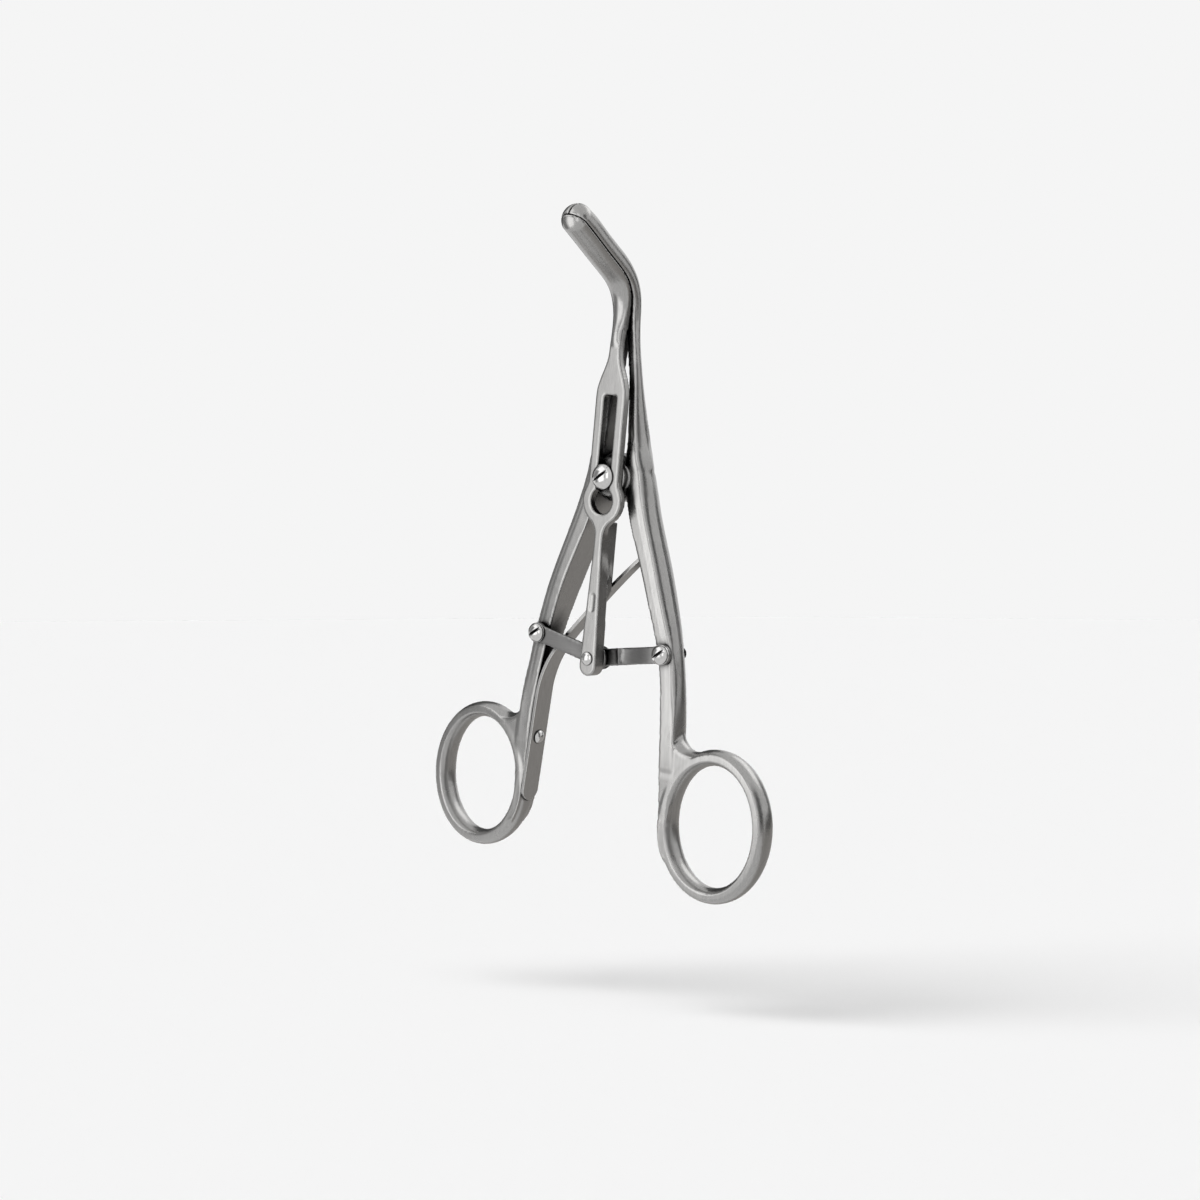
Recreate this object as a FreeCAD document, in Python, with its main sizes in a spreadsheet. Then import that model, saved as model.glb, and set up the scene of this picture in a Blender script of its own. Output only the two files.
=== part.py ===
import FreeCAD, Part
import math
import os
import re

import Sketcher

# A three-blade tracheal dilator, closed and at rest.
#
# Two ring-handled arms turn on one pivot screw. Each arm is a single forging: finger ring,
# handle, half-lapped lug and side blade. The centre blade lies in front of them and slides down
# on the pivot screw. Two link bars, pinned to its foot and screwed to the arms, draw it down
# when the rings are squeezed. A leaf spring on the left handle bears on the right arm.
#
# X runs across the instrument, with the right arm at plus X. Y runs from front to back, and the
# blades bend forward to minus Y. Z runs up from the rings to the blade tips. Heights and depths
# below are measured from the pivot axis, and every piece is then moved so that the origin is
# the middle of the whole instrument.

doc = FreeCAD.newDocument("tracheal_dilator")
sheet = doc.addObject("Spreadsheet::Sheet", "Sizes")

SIZES = [
    # Finger rings: oval, rounded inside and outside, with a narrow flat front and back
    ("ring_across", 31.9, "ring centre from the middle plane"),
    ("ring_drop", 69.9, "ring centre below the pivot"),
    ("ring_bore_width", 20.4, "oval opening, side to side"),
    ("ring_bore_height", 25.6, "oval opening, top to bottom"),
    ("ring_wall", 3.4, "ring thickness seen from the front"),
    ("ring_depth", 5.4, "ring thickness front to back"),
    ("ring_flat", 1.4, "width of the flat front and back"),
    # Web between each handle and its ring, measured from the ring centre
    ("web_root", 11.3, "inner end of the web, inside the handle"),
    ("web_reach", 6.5, "middle of the hollow, towards the middle plane"),
    ("web_top", 19.0, "middle of the hollow, above the ring centre"),
    ("web_hollow", 4.2, "radius of the hollow between handle and ring"),
    ("web_round", 1.3, "rise of the rounded side of the hollow"),
    ("web_far", 20.6, "where the web runs out on the ring, in degrees from the top"),
    ("web_near", 62.0, "where the web leaves the handle, in degrees from the top of the ring"),
    ("web_inner_arc", 12.0, "curve of the web along the ring"),
    ("web_depth", 5.3, "web thickness front to back"),
    # Lug lap joint and pivot
    ("lug_radius", 5.2, "round lug at the pivot"),
    ("lug_front", 3.4, "front face of the right lug, ahead of the lap"),
    ("lug_back", 3.4, "back face of the left lug, behind the lap"),
    ("lap_gap", 0.06, "half the gap between the two lugs"),
    ("lap_room", 0.2, "room around each lug in the other arm"),
    ("hub_radius", 4.1, "boss that carries the slotted plate"),
    ("pivot_radius", 1.55, "pivot screw shank"),
    ("pivot_head_radius", 2.65, "pivot screw head"),
    ("pivot_head_dome", 1.35, "domed part of the pivot head"),
    ("nut_radius", 2.6, "round nut behind the lugs"),
    ("nut_thick", 0.6, "thickness of the round nut"),
    ("pivot_end_dome", 0.25, "domed rear end of the pivot screw"),
    ("fixed_play", 0.02, "room in holes that hold a piece fast"),
    # Centre blade: slotted plate, keyhole, foot
    ("plate_face", 7.2, "front face of the plate and stem"),
    ("plate_thick", 1.8, "plate thickness"),
    ("plate_half", 3.9, "half width of the plate beside the slot"),
    ("slot_half", 1.65, "half width of the slot"),
    ("slot_top", 17.2, "top of the slot above the pivot"),
    ("slot_corner", 0.6, "corner radius at the top of the slot"),
    ("keyhole_drop", 5.1, "keyhole centre below the pivot"),
    ("keyhole_radius", 2.8, "keyhole, a little wider than the pivot head"),
    ("keyhole_rim", 2.3, "metal around the keyhole"),
    ("shoulder_low", 18.8, "where the plate starts to narrow"),
    ("shoulder_high", 25.0, "where the plate has narrowed to the neck"),
    ("neck_half", 1.35, "half width of the neck"),
    ("neck_top", 28.5, "top of the flat neck"),
    ("stem_waist_half", 1.05, "half width of the stem below the keyhole"),
    ("stem_waist_drop", 13.8, "height of the stem waist below the pivot"),
    ("stem_foot_half", 2.15, "half width of the stem at the link pin"),
    ("stem_foot_end", 3.75, "foot below the link pin"),
    ("stem_depth", 3.15, "stem thickness front to back"),
    ("heel_reach", 5.2, "heel below the keyhole rim, front to back"),
    ("heel_top_drop", 9.6, "top of the heel below the pivot"),
    ("heel_flat", 14.8, "straight back of the heel"),
    ("heel_run", 5.8, "height over which the heel runs out into the stem"),
    ("mark_drop", 26.8, "middle of the shallow oblong mark on the stem"),
    ("mark_half", 0.65, "half width of the mark"),
    ("mark_length", 4.0, "length of the mark"),
    ("mark_depth", 0.2, "depth of the mark"),
    ("plate_edge", 0.28, "bevel on the front edges of the plate"),
    ("shoulder_blend", 6.0, "blend between shoulder and neck"),
    ("shoulder_round", 2.5, "rounding of the shoulder corner"),
    ("rim_blend", 3.0, "blend between plate and keyhole rim"),
    ("stem_blend", 4.0, "blend between keyhole rim and stem"),
    # Forward bend of the three blades
    ("seam_face", 4.7, "seam between centre and side blades, ahead of the pivot axis"),
    ("bend_start", 34.0, "height where the blades begin to bend"),
    ("bend_radius", 10.5, "bend radius along the seam"),
    ("bend_angle", 58.0, "forward bend in degrees"),
    ("tip_reach", 19.4, "straight length beyond the bend"),
    ("tip_radius", 3.42, "rounded end of the closed bundle"),
    ("tip_offset", 0.85, "middle of the bundle behind the seam"),
    ("seam_gap", 0.1, "half the gap between closed blades"),
    # Links and their screws
    ("link_across", 16.95, "link screw from the middle plane"),
    ("pin_drop", 38.85, "link pin below the pivot"),
    ("link_plane", 3.0, "front of the arms where the links turn"),
    ("link_tail_plane", 3.25, "back of the arms where the link screws end"),
    ("link_width", 3.6, "link bar width"),
    ("link_thick", 0.95, "link bar thickness"),
    ("link_outer_eye", 2.2, "eye radius at the arm"),
    ("link_inner_eye", 2.35, "eye radius at the pin"),
    ("link_step_start", 11.2, "right link: distance from its screw to the set back"),
    ("link_step_run", 1.2, "right link: length of the set back"),
    ("link_gap", 0.05, "running gap at each face of a link"),
    ("link_screw_radius", 1.0, "link screw shank"),
    ("link_screw_play", 0.06, "running clearance of a link on its screw"),
    ("link_head_radius", 2.0, "link screw head"),
    ("link_head_dome", 1.05, "domed part of the link screw head"),
    ("link_tail_radius", 1.35, "closed-over rear end of a link screw"),
    ("washer_radius", 2.15, "washer under a link screw head"),
    ("washer_thick", 0.3, "thickness of both kinds of washer"),
    ("pin_radius", 0.7, "link pin shank"),
    ("pin_play", 1.0, "clearance of the open pivot around the pin"),
    ("pin_head_radius", 1.35, "link pin head"),
    ("pin_head_dome", 0.6, "domed part of the pin head"),
    ("pin_tail_radius", 1.15, "closed-over rear end of the pin"),
    ("pin_end_dome", 0.45, "height of the closed-over end of the pin"),
    ("pin_washer_radius", 2.5, "washer behind the links"),
    ("head_rim", 0.3, "straight rim below each dome"),
    ("tail_dome", 0.6, "height of each closed-over end"),
    ("driver_slot", 0.7, "width of the screwdriver slots"),
    ("driver_depth", 0.8, "depth of the screwdriver slots"),
    ("driver_turn", 40.0, "lie of the screwdriver slots in degrees"),
    # Leaf spring and its rivet
    ("leaf_thick", 0.7, "leaf thickness"),
    ("leaf_root_width", 5.0, "leaf width at the rivet"),
    ("leaf_tip_width", 2.4, "leaf width at its free end"),
    ("leaf_middle", 0.2, "leaf centre line ahead of the pivot axis"),
    ("leaf_foot_across", 18.65, "lower end of the leaf from the middle plane"),
    ("leaf_foot_drop", 73.6, "lower end of the leaf below the pivot"),
    ("leaf_root_across", 16.75, "where the leaf leaves the handle"),
    ("leaf_root_drop", 49.5, "height where the leaf leaves the handle"),
    ("leaf_turn_radius", 22.0, "bend where the leaf leaves the handle"),
    ("leaf_tip_across", 7.99, "free end of the leaf, right of the middle plane"),
    ("leaf_tip_drop", 15.9, "free end of the leaf below the pivot"),
    ("leaf_bow_radius", 218.0, "long bow of the free leaf"),
    ("leaf_turned", 39.0, "heading of the leaf after the turn, in degrees from upright"),
    ("leaf_end_turned", 46.7, "heading of the leaf at its free end"),
    ("rivet_drop", 59.1, "spring rivet below the pivot"),
    ("rivet_radius", 0.8, "spring rivet shank"),
    ("rivet_head_radius", 1.45, "spring rivet head"),
    ("rivet_head_dome", 0.75, "domed part of the rivet head"),
    ("rivet_length", 2.6, "rivet shank below its head"),
]

# Cross sections of an arm, from the ring up to the blade tip. Each is flat inside and in front,
# and rounded outside: inner edge from the middle plane, width in front, width at the back, reach
# to the front, reach to the back, bulge of the outer side.
HANDLE_SECTIONS = [
    ("ring_low", 80.0, 21.9, 1.1, 1.0, 1.9, 1.9, 0.2),
    ("ring_middle", 69.9, 18.75, 2.3, 2.0, 2.6, 2.55, 0.35),
    ("ring_high", 62.0, 18.15, 3.3, 2.7, 2.7, 2.7, 0.6),
    ("grip", 48.0, 17.05, 3.6, 2.9, 2.8, 2.95, 0.7),
    ("link_seat", 35.7, 14.95, 3.8, 3.0, 2.65, 3.05, 0.8),
    ("knee", 25.0, 11.7, 4.0, 3.0, 3.55, 3.6, 0.9),
    ("upper", 17.9, 9.0, 4.3, 3.3, 3.65, 3.65, 0.9),
    ("shoulder", 10.5, 6.0, 4.6, 3.4, 3.7, 3.7, 0.9),
    ("flank", 4.3, 4.1, 4.6, 3.2, 3.7, 3.65, 0.9),
]
HUB_SECTION = ("hub", -1.5, 3.1, 4.3, 3.0, 3.7, 3.6, 0.8)
BLADE_SECTIONS = [
    ("crotch", -7.4, 2.95, 3.1, 2.3, 3.7, 2.9, 0.6),
    ("waist", -13.0, 2.5, 2.3, 1.6, 3.6, 1.7, 0.5),
    ("throat", -24.0, 1.45, 1.95, 1.2, 3.7, -0.6, 0.4),
    ("neck", -29.5, 0.55, 2.3, 1.1, 4.1, -0.85, 0.6),
]
# The bent part of a side blade, behind the seam: width, thickness, share of the bend
SIDE_BENDS = [
    ("bend_a", 2.5, 3.6, 0.0),
    ("bend_b", 2.7, 3.75, 0.33),
    ("bend_c", 2.95, 3.9, 0.67),
    ("bend_d", 3.1, 4.05, 1.0),
]
# The bent part of the centre blade, ahead of the seam: half width, thickness, bulge
CENTRE_BENDS = [
    ("bend_a", 1.75, 2.3, 0.7, 0.0),
    ("bend_b", 2.2, 2.3, 1.0, 0.33),
    ("bend_c", 2.7, 2.35, 1.5, 0.67),
    ("bend_d", 3.0, 2.4, 1.8, 1.0),
]
RUN_SHARES = [0.25, 0.5, 0.75, 1.0]

rows = list(SIZES)
for label, drop, inner, front_width, back_width, front, back, bulge in (
        HANDLE_SECTIONS + [HUB_SECTION] + BLADE_SECTIONS):
    rows.append((label + "_drop", drop, label + " section below the pivot"))
    rows.append((label + "_inner", inner, label + " section, inner edge"))
    rows.append((label + "_front_width", front_width, label + " section, width in front"))
    rows.append((label + "_back_width", back_width, label + " section, width at the back"))
    rows.append((label + "_front", front, label + " section, reach to the front"))
    rows.append((label + "_back", back, label + " section, reach to the back"))
    rows.append((label + "_bulge", bulge, label + " section, bulge of the outer side"))
for label, width, thick, share in SIDE_BENDS:
    rows.append(("side_" + label + "_width", width, "side blade width"))
    rows.append(("side_" + label + "_thick", thick, "side blade thickness"))
for label, half, thick, bulge, share in CENTRE_BENDS:
    rows.append(("centre_" + label + "_half", half, "centre blade half width"))
    rows.append(("centre_" + label + "_thick", thick, "centre blade thickness"))
    rows.append(("centre_" + label + "_bulge", bulge, "centre blade bulge"))
rows.append(("side_tip_width", 3.2, "side blade width at the tip"))
rows.append(("side_tip_thick", 4.1, "side blade thickness at the tip"))
rows.append(("side_tip_back", 0.9, "flat back of a side blade in the bend"))
rows.append(("side_tip_bulge", 1.05, "bulge of a side blade in the bend"))
rows.append(("centre_tip_half", 3.15, "centre blade half width at the tip"))
rows.append(("centre_tip_thick", 2.45, "centre blade thickness at the tip"))
rows.append(("centre_tip_bulge", 2.0, "centre blade bulge at the tip"))
rows.append(("centre_root_bulge", 0.2, "slight crown of the neck where the bent blade grows from it"))

for row, (alias, value, meaning) in enumerate(rows, start=1):
    sheet.set("A%d" % row, meaning)
    sheet.set("B%d" % row, str(value))
    sheet.setAlias("B%d" % row, alias)
doc.recompute()


def size(alias):
    return float(getattr(sheet, alias))


def named(text):
    """Turn words such as ring_wall in a formula into references to the sheet."""
    return WORD.sub(lambda word: ("Sizes." if word[0] in ALIASES else "") + word[0], text)


ALIASES = {alias for alias, value, meaning in rows}
WORD = re.compile(r"[a-z][a-z_]+")


def value_of(text):
    return float(sheet.evalExpression(named(text)))


# Where the pieces lie on the instrument, as formulas of the sheet
BEND_Y = "(-seam_face - bend_radius * (1 - cos(%s * bend_angle * 1deg)))"
BEND_Z = "(bend_start + bend_radius * sin(%s * bend_angle * 1deg))"
TIP_Y = "(-seam_face - bend_radius * (1 - cos(bend_angle * 1deg)) - tip_reach * sin(bend_angle * 1deg))"
TIP_Z = "(bend_start + bend_radius * sin(bend_angle * 1deg) + tip_reach * cos(bend_angle * 1deg))"
BALL_Y = "(" + TIP_Y + " + tip_radius * sin(bend_angle * 1deg) + tip_offset * cos(bend_angle * 1deg))"
BALL_Z = "(" + TIP_Z + " - tip_radius * cos(bend_angle * 1deg) + tip_offset * sin(bend_angle * 1deg))"
KEYHOLE_RING = "(keyhole_radius + keyhole_rim)"
PLATE_BACK = "(plate_face - plate_thick)"
STEM_BACK = "(plate_face - stem_depth)"
LINK_LENGTH = "sqrt(link_across^2 + (pin_drop - link_seat_drop)^2)"
LINK_TILT = "atan((pin_drop - link_seat_drop) / link_across)"
LINK_FRONT = "(link_plane + link_gap + link_thick)"
PIVOT_TAIL = "(lug_back + link_gap + nut_thick)"
ORIGIN_Y = "(-((" + BALL_Y + " - tip_radius) + (" + PIVOT_TAIL + " + pivot_end_dome)) / 2)"
ORIGIN_Z = "(-((" + BALL_Z + " + tip_radius) - (ring_drop + ring_bore_height / 2 + ring_wall)) / 2)"


def bind(thing, path, text):
    thing.setExpression(path, named(text))


def place(thing, across="0", depth="0", height="0"):
    """Put a finished piece on the instrument, with the origin in the middle of the whole."""
    bind(thing, "Placement.Base.x", across)
    bind(thing, "Placement.Base.y", depth + " + " + ORIGIN_Y)
    bind(thing, "Placement.Base.z", height + " + " + ORIGIN_Z)


# Sketches: closed or open outlines whose corners and arc radii are formulas of the sheet

def arc_between(start, end, radius, left):
    """The shorter arc from start to end; left says that it bulges to the left of the way."""
    chord = end - start
    middle = (start + end) * 0.5
    away = FreeCAD.Vector(-chord.y, chord.x, 0).normalize()
    if not left:
        away = away * -1.0
    centre = middle - away * math.sqrt(max(radius ** 2 - (chord.Length / 2) ** 2, 0.0))
    top = centre + away * radius
    return Part.Arc(start, top, end)


def outline(sketch, corners, arcs=None, closed=True):
    """Draw a chain of edges. corners: pairs of formulas. arcs: edge number to (radius, left)."""
    arcs = arcs or {}
    points = [FreeCAD.Vector(value_of(u), value_of(w), 0) for u, w in corners]
    edges = len(corners) if closed else len(corners) - 1
    for number in range(edges):
        start = points[number]
        end = points[(number + 1) % len(points)]
        if number in arcs:
            radius, left = arcs[number]
            sketch.addGeometry(arc_between(start, end, value_of(radius), left), False)
        else:
            sketch.addGeometry(Part.LineSegment(start, end), False)
    ends = {}
    for number in range(edges):
        flipped = False
        if number in arcs:
            flipped = (sketch.getPoint(number, 1) - points[number]).Length > 1e-6
        ends[number] = (2, 1) if flipped else (1, 2)
    for number in range(edges if closed else edges - 1):
        follower = (number + 1) % edges
        sketch.addConstraint(Sketcher.Constraint(
            "Coincident", number, ends[number][1], follower, ends[follower][0]))
    for number, (u, w) in enumerate(corners):
        edge, end = (number, ends[number][0]) if number < edges else (edges - 1, ends[edges - 1][1])
        for kind, text in (("DistanceX", u), ("DistanceY", w)):
            index = sketch.addConstraint(Sketcher.Constraint(kind, -1, 1, edge, end, value_of(text)))
            bind(sketch, "Constraints[%d]" % index, text)
    for number, (radius, left) in arcs.items():
        index = sketch.addConstraint(Sketcher.Constraint("Radius", number, value_of(radius)))
        bind(sketch, "Constraints[%d]" % index, radius)
    return sketch


def circle(sketch, u, w, radius):
    centre = FreeCAD.Vector(value_of(u), value_of(w), 0)
    number = sketch.addGeometry(Part.Circle(centre, FreeCAD.Vector(0, 0, 1), value_of(radius)), False)
    for kind, text in (("DistanceX", u), ("DistanceY", w)):
        index = sketch.addConstraint(Sketcher.Constraint(kind, -1, 1, number, 3, value_of(text)))
        bind(sketch, "Constraints[%d]" % index, text)
    index = sketch.addConstraint(Sketcher.Constraint("Radius", number, value_of(radius)))
    bind(sketch, "Constraints[%d]" % index, radius)
    return sketch


def free_sketch(name, turn=None, depth="0", height="0", axis=(1, 0, 0), across="0"):
    """A sketch that stands by itself, turned about one axis through its own corner."""
    sketch = doc.addObject("Sketcher::SketchObject", name)
    if turn is not None:
        sketch.Placement = FreeCAD.Placement(
            FreeCAD.Vector(), FreeCAD.Rotation(FreeCAD.Vector(*axis), value_of(turn) or 90.0))
        bind(sketch, "Placement.Rotation.Angle", turn + " * 1deg")
    bind(sketch, "Placement.Base.x", across)
    bind(sketch, "Placement.Base.y", depth)
    bind(sketch, "Placement.Base.z", height)
    return sketch


# Plain solids and booleans, bound to the same formulas

def rod(name, radius, front, length, across="0", height="0"):
    """A round bar along Y that starts at depth front and runs back."""
    solid = doc.addObject("Part::Cylinder", name)
    solid.Placement = FreeCAD.Placement(
        FreeCAD.Vector(), FreeCAD.Rotation(FreeCAD.Vector(1, 0, 0), -90))
    bind(solid, "Radius", radius)
    bind(solid, "Height", length)
    bind(solid, "Placement.Base.x", across)
    bind(solid, "Placement.Base.y", front)
    bind(solid, "Placement.Base.z", height)
    return solid


def fused(name, *pieces):
    whole = doc.addObject("Part::MultiFuse", name)
    whole.Shapes = list(pieces)
    whole.Refine = True
    return whole


def cut(name, base, *tools):
    for number, tool in enumerate(tools):
        step = doc.addObject("Part::Cut", name if number == len(tools) - 1 else "%s_%d" % (name, number))
        step.Base = base
        step.Tool = tool
        step.Refine = True
        base = step
    return base


def common(name, first, second):
    both = doc.addObject("Part::MultiCommon", name)
    both.Shapes = [first, second]
    both.Refine = True
    return both


def loft(name, sections, smooth=True):
    solid = doc.addObject("Part::Loft", name)
    solid.Sections = sections
    solid.Solid = True
    solid.Ruled = not smooth
    return solid


def extruded(name, sketch, length, both_ways=False):
    solid = doc.addObject("Part::Extrusion", name)
    solid.Base = sketch
    solid.DirMode = "Normal"
    solid.Solid = True
    solid.Symmetric = both_ways
    bind(solid, "LengthFwd", length)
    return solid


# Arms

def between(first, last, share):
    return "(%s + (%s - %s) * %s)" % (first, last, first, share)


def bulge_radius(width, height, bulge):
    """Radius of the arc over a chord with the given sides, by its rise."""
    chord = "((%s)^2 + (%s)^2)" % (width, height)
    return "((%s) / 4 + (%s)^2) / (2 * (%s))" % (chord, bulge, bulge)


def handle_section(label):
    """An upright stretch of the arm: flat inside, in front and behind, rounded outside."""
    part = {key: "%s_%s" % (label, key) for key in (
        "drop", "inner", "front_width", "back_width", "front", "back", "bulge")}
    sketch = free_sketch("section_" + label, height="-" + part["drop"])
    corners = [
        (part["inner"], "-" + part["front"]),
        ("%(inner)s + %(front_width)s" % part, "-" + part["front"]),
        ("%(inner)s + %(back_width)s" % part, part["back"]),
        (part["inner"], part["back"]),
    ]
    radius = bulge_radius(
        "%(front_width)s - %(back_width)s" % part, "%(front)s + %(back)s" % part, part["bulge"])
    return outline(sketch, corners, {1: (radius, False)})


def side_blade_section(label, width, thick, share, run="0"):
    """The bent stretch of a side blade, behind the seam and square to the bend."""
    depth = BEND_Y % share + " - (%s) * sin(%s * bend_angle * 1deg)" % (run, share)
    height = BEND_Z % share + " + (%s) * cos(%s * bend_angle * 1deg)" % (run, share)
    sketch = free_sketch("side_section_" + label, "%s * bend_angle" % share, depth, height)
    corners = [
        ("seam_gap", "seam_gap"),
        (width, "seam_gap"),
        ("side_tip_back", thick),
        ("seam_gap", thick),
    ]
    radius = bulge_radius("%s - side_tip_back" % width, "%s - seam_gap" % thick, "side_tip_bulge")
    return outline(sketch, corners, {1: (radius, False)})


def finger_ring():
    """An oval ring: one half swept from a section rounded inside and outside, and its mirror."""
    path = doc.addObject("Part::Ellipse", "ring_path")
    path.Angle1 = 0
    path.Angle2 = 180
    bind(path, "MajorRadius", "(ring_bore_height + ring_wall) / 2")
    bind(path, "MinorRadius", "(ring_bore_width + ring_wall) / 2")
    upright = FreeCAD.Rotation(FreeCAD.Vector(0, 0, 1), FreeCAD.Vector(1, 0, 0), FreeCAD.Vector(0, 1, 0))
    path.Placement = FreeCAD.Placement(FreeCAD.Vector(), upright)
    bind(path, "Placement.Base.x", "ring_across")
    bind(path, "Placement.Base.z", "-ring_drop")
    section = doc.addObject("Sketcher::SketchObject", "ring_section")
    radial = FreeCAD.Rotation(FreeCAD.Vector(0, 0, 1), FreeCAD.Vector(0, 1, 0), FreeCAD.Vector(-1, 0, 0))
    section.Placement = FreeCAD.Placement(FreeCAD.Vector(), radial)
    bind(section, "Placement.Base.x", "ring_across")
    bind(section, "Placement.Base.z", "-ring_drop + (ring_bore_height + ring_wall) / 2")
    corners = [
        ("-ring_flat / 2", "-ring_depth / 2"),
        ("ring_flat / 2", "-ring_depth / 2"),
        ("ring_flat / 2", "ring_depth / 2"),
        ("-ring_flat / 2", "ring_depth / 2"),
    ]
    radius = bulge_radius("0", "ring_depth", "(ring_wall - ring_flat) / 2")
    outline(section, corners, {1: (radius, False), 3: (radius, False)})
    half = doc.addObject("Part::Sweep", "ring_half")
    half.Sections = [section]
    half.Spine = (path, ["Edge1"])
    half.Solid = True
    half.Frenet = True
    other_half = mirrored("ring_other_half", half)
    bind(other_half, "Base.x", "ring_across")
    return fused("ring", half, other_half)


def ring_web():
    """The web that joins the ring to the outer side of the handle, hollow and rounded above."""
    web = doc.addObject("Sketcher::SketchObject", "web_outline")
    web.Placement = FreeCAD.Placement(FreeCAD.Vector(), FreeCAD.Rotation(FreeCAD.Vector(1, 0, 0), 90))
    bind(web, "Placement.Base.x", "ring_across")
    bind(web, "Placement.Base.z", "-ring_drop")
    along = ("(-(ring_bore_width + ring_wall) / 2 * sin(%s * 1deg))",
             "((ring_bore_height + ring_wall) / 2 * cos(%s * 1deg))")
    corners = [
        ("-web_root", "web_top"),
        ("-web_reach", "web_top"),
        tuple(text % "web_far" for text in along),
        tuple(text % "web_near" for text in along),
        ("-web_root", along[1] % "web_near"),
    ]
    outline(web, corners, {2: ("web_inner_arc", False)})
    plate = extruded("web_plate", web, "web_depth", both_ways=True)
    profile = doc.addObject("Sketcher::SketchObject", "web_hollow_profile")
    half = "(web_depth / 2 + seam_gap)"
    corners = [
        ("0", "-" + half),
        ("web_hollow + web_round", "-" + half),
        ("web_hollow + web_round", half),
        ("0", half),
    ]
    outline(profile, corners, {1: (bulge_radius("0", half + " * 2", "web_round"), True)})
    spool = doc.addObject("Part::Revolution", "web_spool")
    spool.Source = profile
    spool.Axis = FreeCAD.Vector(0, 1, 0)
    spool.Angle = 360
    spool.Solid = True
    bind(spool, "Placement.Base.x", "ring_across - web_reach")
    bind(spool, "Placement.Base.z", "-ring_drop + web_top")
    return cut("web", plate, spool)


def tip_mould():
    """What the rounded end of the closed bundle leaves over: a block less a ball."""
    block = doc.addObject("Part::Box", "tip_block")
    block.Placement = FreeCAD.Placement(FreeCAD.Vector(), FreeCAD.Rotation(FreeCAD.Vector(1, 0, 0), 58))
    bind(block, "Placement.Rotation.Angle", "bend_angle * 1deg")
    for side in ("Length", "Width", "Height"):
        bind(block, side, "tip_radius * 4")
    bind(block, "Placement.Base.x", "-tip_radius * 2")
    bind(block, "Placement.Base.y", BALL_Y + " - tip_radius * 2 * cos(bend_angle * 1deg)")
    bind(block, "Placement.Base.z", BALL_Z + " - tip_radius * 2 * sin(bend_angle * 1deg)")
    ball = doc.addObject("Part::Sphere", "tip_ball")
    bind(ball, "Radius", "tip_radius")
    bind(ball, "Placement.Base.y", BALL_Y)
    bind(ball, "Placement.Base.z", BALL_Z)
    return cut("tip_mould", block, ball)


def right_hand_forging(mould):
    """What both arms start from: ring, web, handle and side blade, for the right-hand side."""
    hub = handle_section("hub")
    bar = loft("handle_bar", [handle_section(row[0]) for row in HANDLE_SECTIONS] + [hub])
    link_hole = rod("link_hole", "link_screw_radius + fixed_play", "-plate_face", "plate_face * 2",
                    "link_across", "-link_seat_drop")
    handle = cut("handle", bar, link_hole)
    sections = [hub] + [handle_section(row[0]) for row in BLADE_SECTIONS]
    for label, width, thick, share in SIDE_BENDS:
        sections.append(side_blade_section(
            label, "side_%s_width" % label, "side_%s_thick" % label, str(share)))
    for share in RUN_SHARES:
        sections.append(side_blade_section(
            "run_%d" % (100 * share), between("side_bend_d_width", "side_tip_width", share),
            between("side_bend_d_thick", "side_tip_thick", share), "1.0", "tip_reach * %s" % share))
    blade = cut("side_blade", loft("side_blade_rough", sections), mould)
    return fused("right_forging", finger_ring(), ring_web(), handle, blade)


def pivot_hole(side):
    return rod(side + "_pivot_hole", "pivot_radius + link_screw_play", "-plate_face", "plate_face * 2")


def mirrored(name, source):
    copy = doc.addObject("Part::Mirroring", name)
    copy.Source = source
    copy.Normal = FreeCAD.Vector(1, 0, 0)
    return copy


def right_arm(forging):
    """The right arm has the front lug and the boss that carries the slotted plate."""
    lug = rod("front_lug", "lug_radius", "-lug_front", "lug_front - lap_gap")
    boss = rod("front_boss", "hub_radius", "-(%s - link_gap)" % PLATE_BACK,
               "%s - link_gap - lug_front / 2" % PLATE_BACK)
    room = rod("room_for_back_lug", "lug_radius + lap_room", "-lap_gap", "lug_back * 2")
    arm = cut("right_arm_rough", forging, room)
    arm = cut("right_arm", fused("right_arm_solid", arm, lug, boss), pivot_hole("right"))
    return finished(arm, "right_arm")


def left_arm(forging, leaf, rivet_room):
    """The left arm has the back lug, and a seat for the leaf spring on its handle."""
    seated = cut("left_forging_seated", mirrored("left_forging", forging), leaf, rivet_room)
    lug = rod("back_lug", "lug_radius", "lap_gap", "lug_back - lap_gap")
    room = rod("room_for_front_lug", "lug_radius + lap_room", "-lug_front * 2", "lug_front * 2 + lap_gap")
    arm = cut("left_arm_rough", seated, room)
    arm = cut("left_arm", fused("left_arm_solid", arm, lug), pivot_hole("left"))
    return finished(arm, "left_arm")


# Leaf spring: a flat strip along the left handle that springs across to the right arm

LEAN = "atan((leaf_foot_across - leaf_root_across) / (leaf_foot_drop - leaf_root_drop))"
TURNED = "(leaf_turned * 1deg)"
LEAF_BEND_X = "(-leaf_root_across + leaf_turn_radius * (cos(%s) - cos(%s)))" % (LEAN, TURNED)
LEAF_BEND_Z = "(-leaf_root_drop + leaf_turn_radius * (sin(%s) - sin(%s)))" % (TURNED, LEAN)


def leaf_side(sign):
    """One long side of the leaf seen from the front, from its foot to its free end."""
    stations = [
        ("-leaf_foot_across", "-leaf_foot_drop", LEAN),
        ("-leaf_root_across", "-leaf_root_drop", LEAN),
        (LEAF_BEND_X, LEAF_BEND_Z, TURNED),
        ("leaf_tip_across", "-leaf_tip_drop", "(leaf_end_turned * 1deg)"),
    ]
    return [("%s %s leaf_thick / 2 * cos(%s)" % (u, sign, heading),
             "%s %s leaf_thick / 2 * sin(%s)" % (w, "-" if sign == "+" else "+", heading))
            for u, w, heading in stations]


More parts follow.
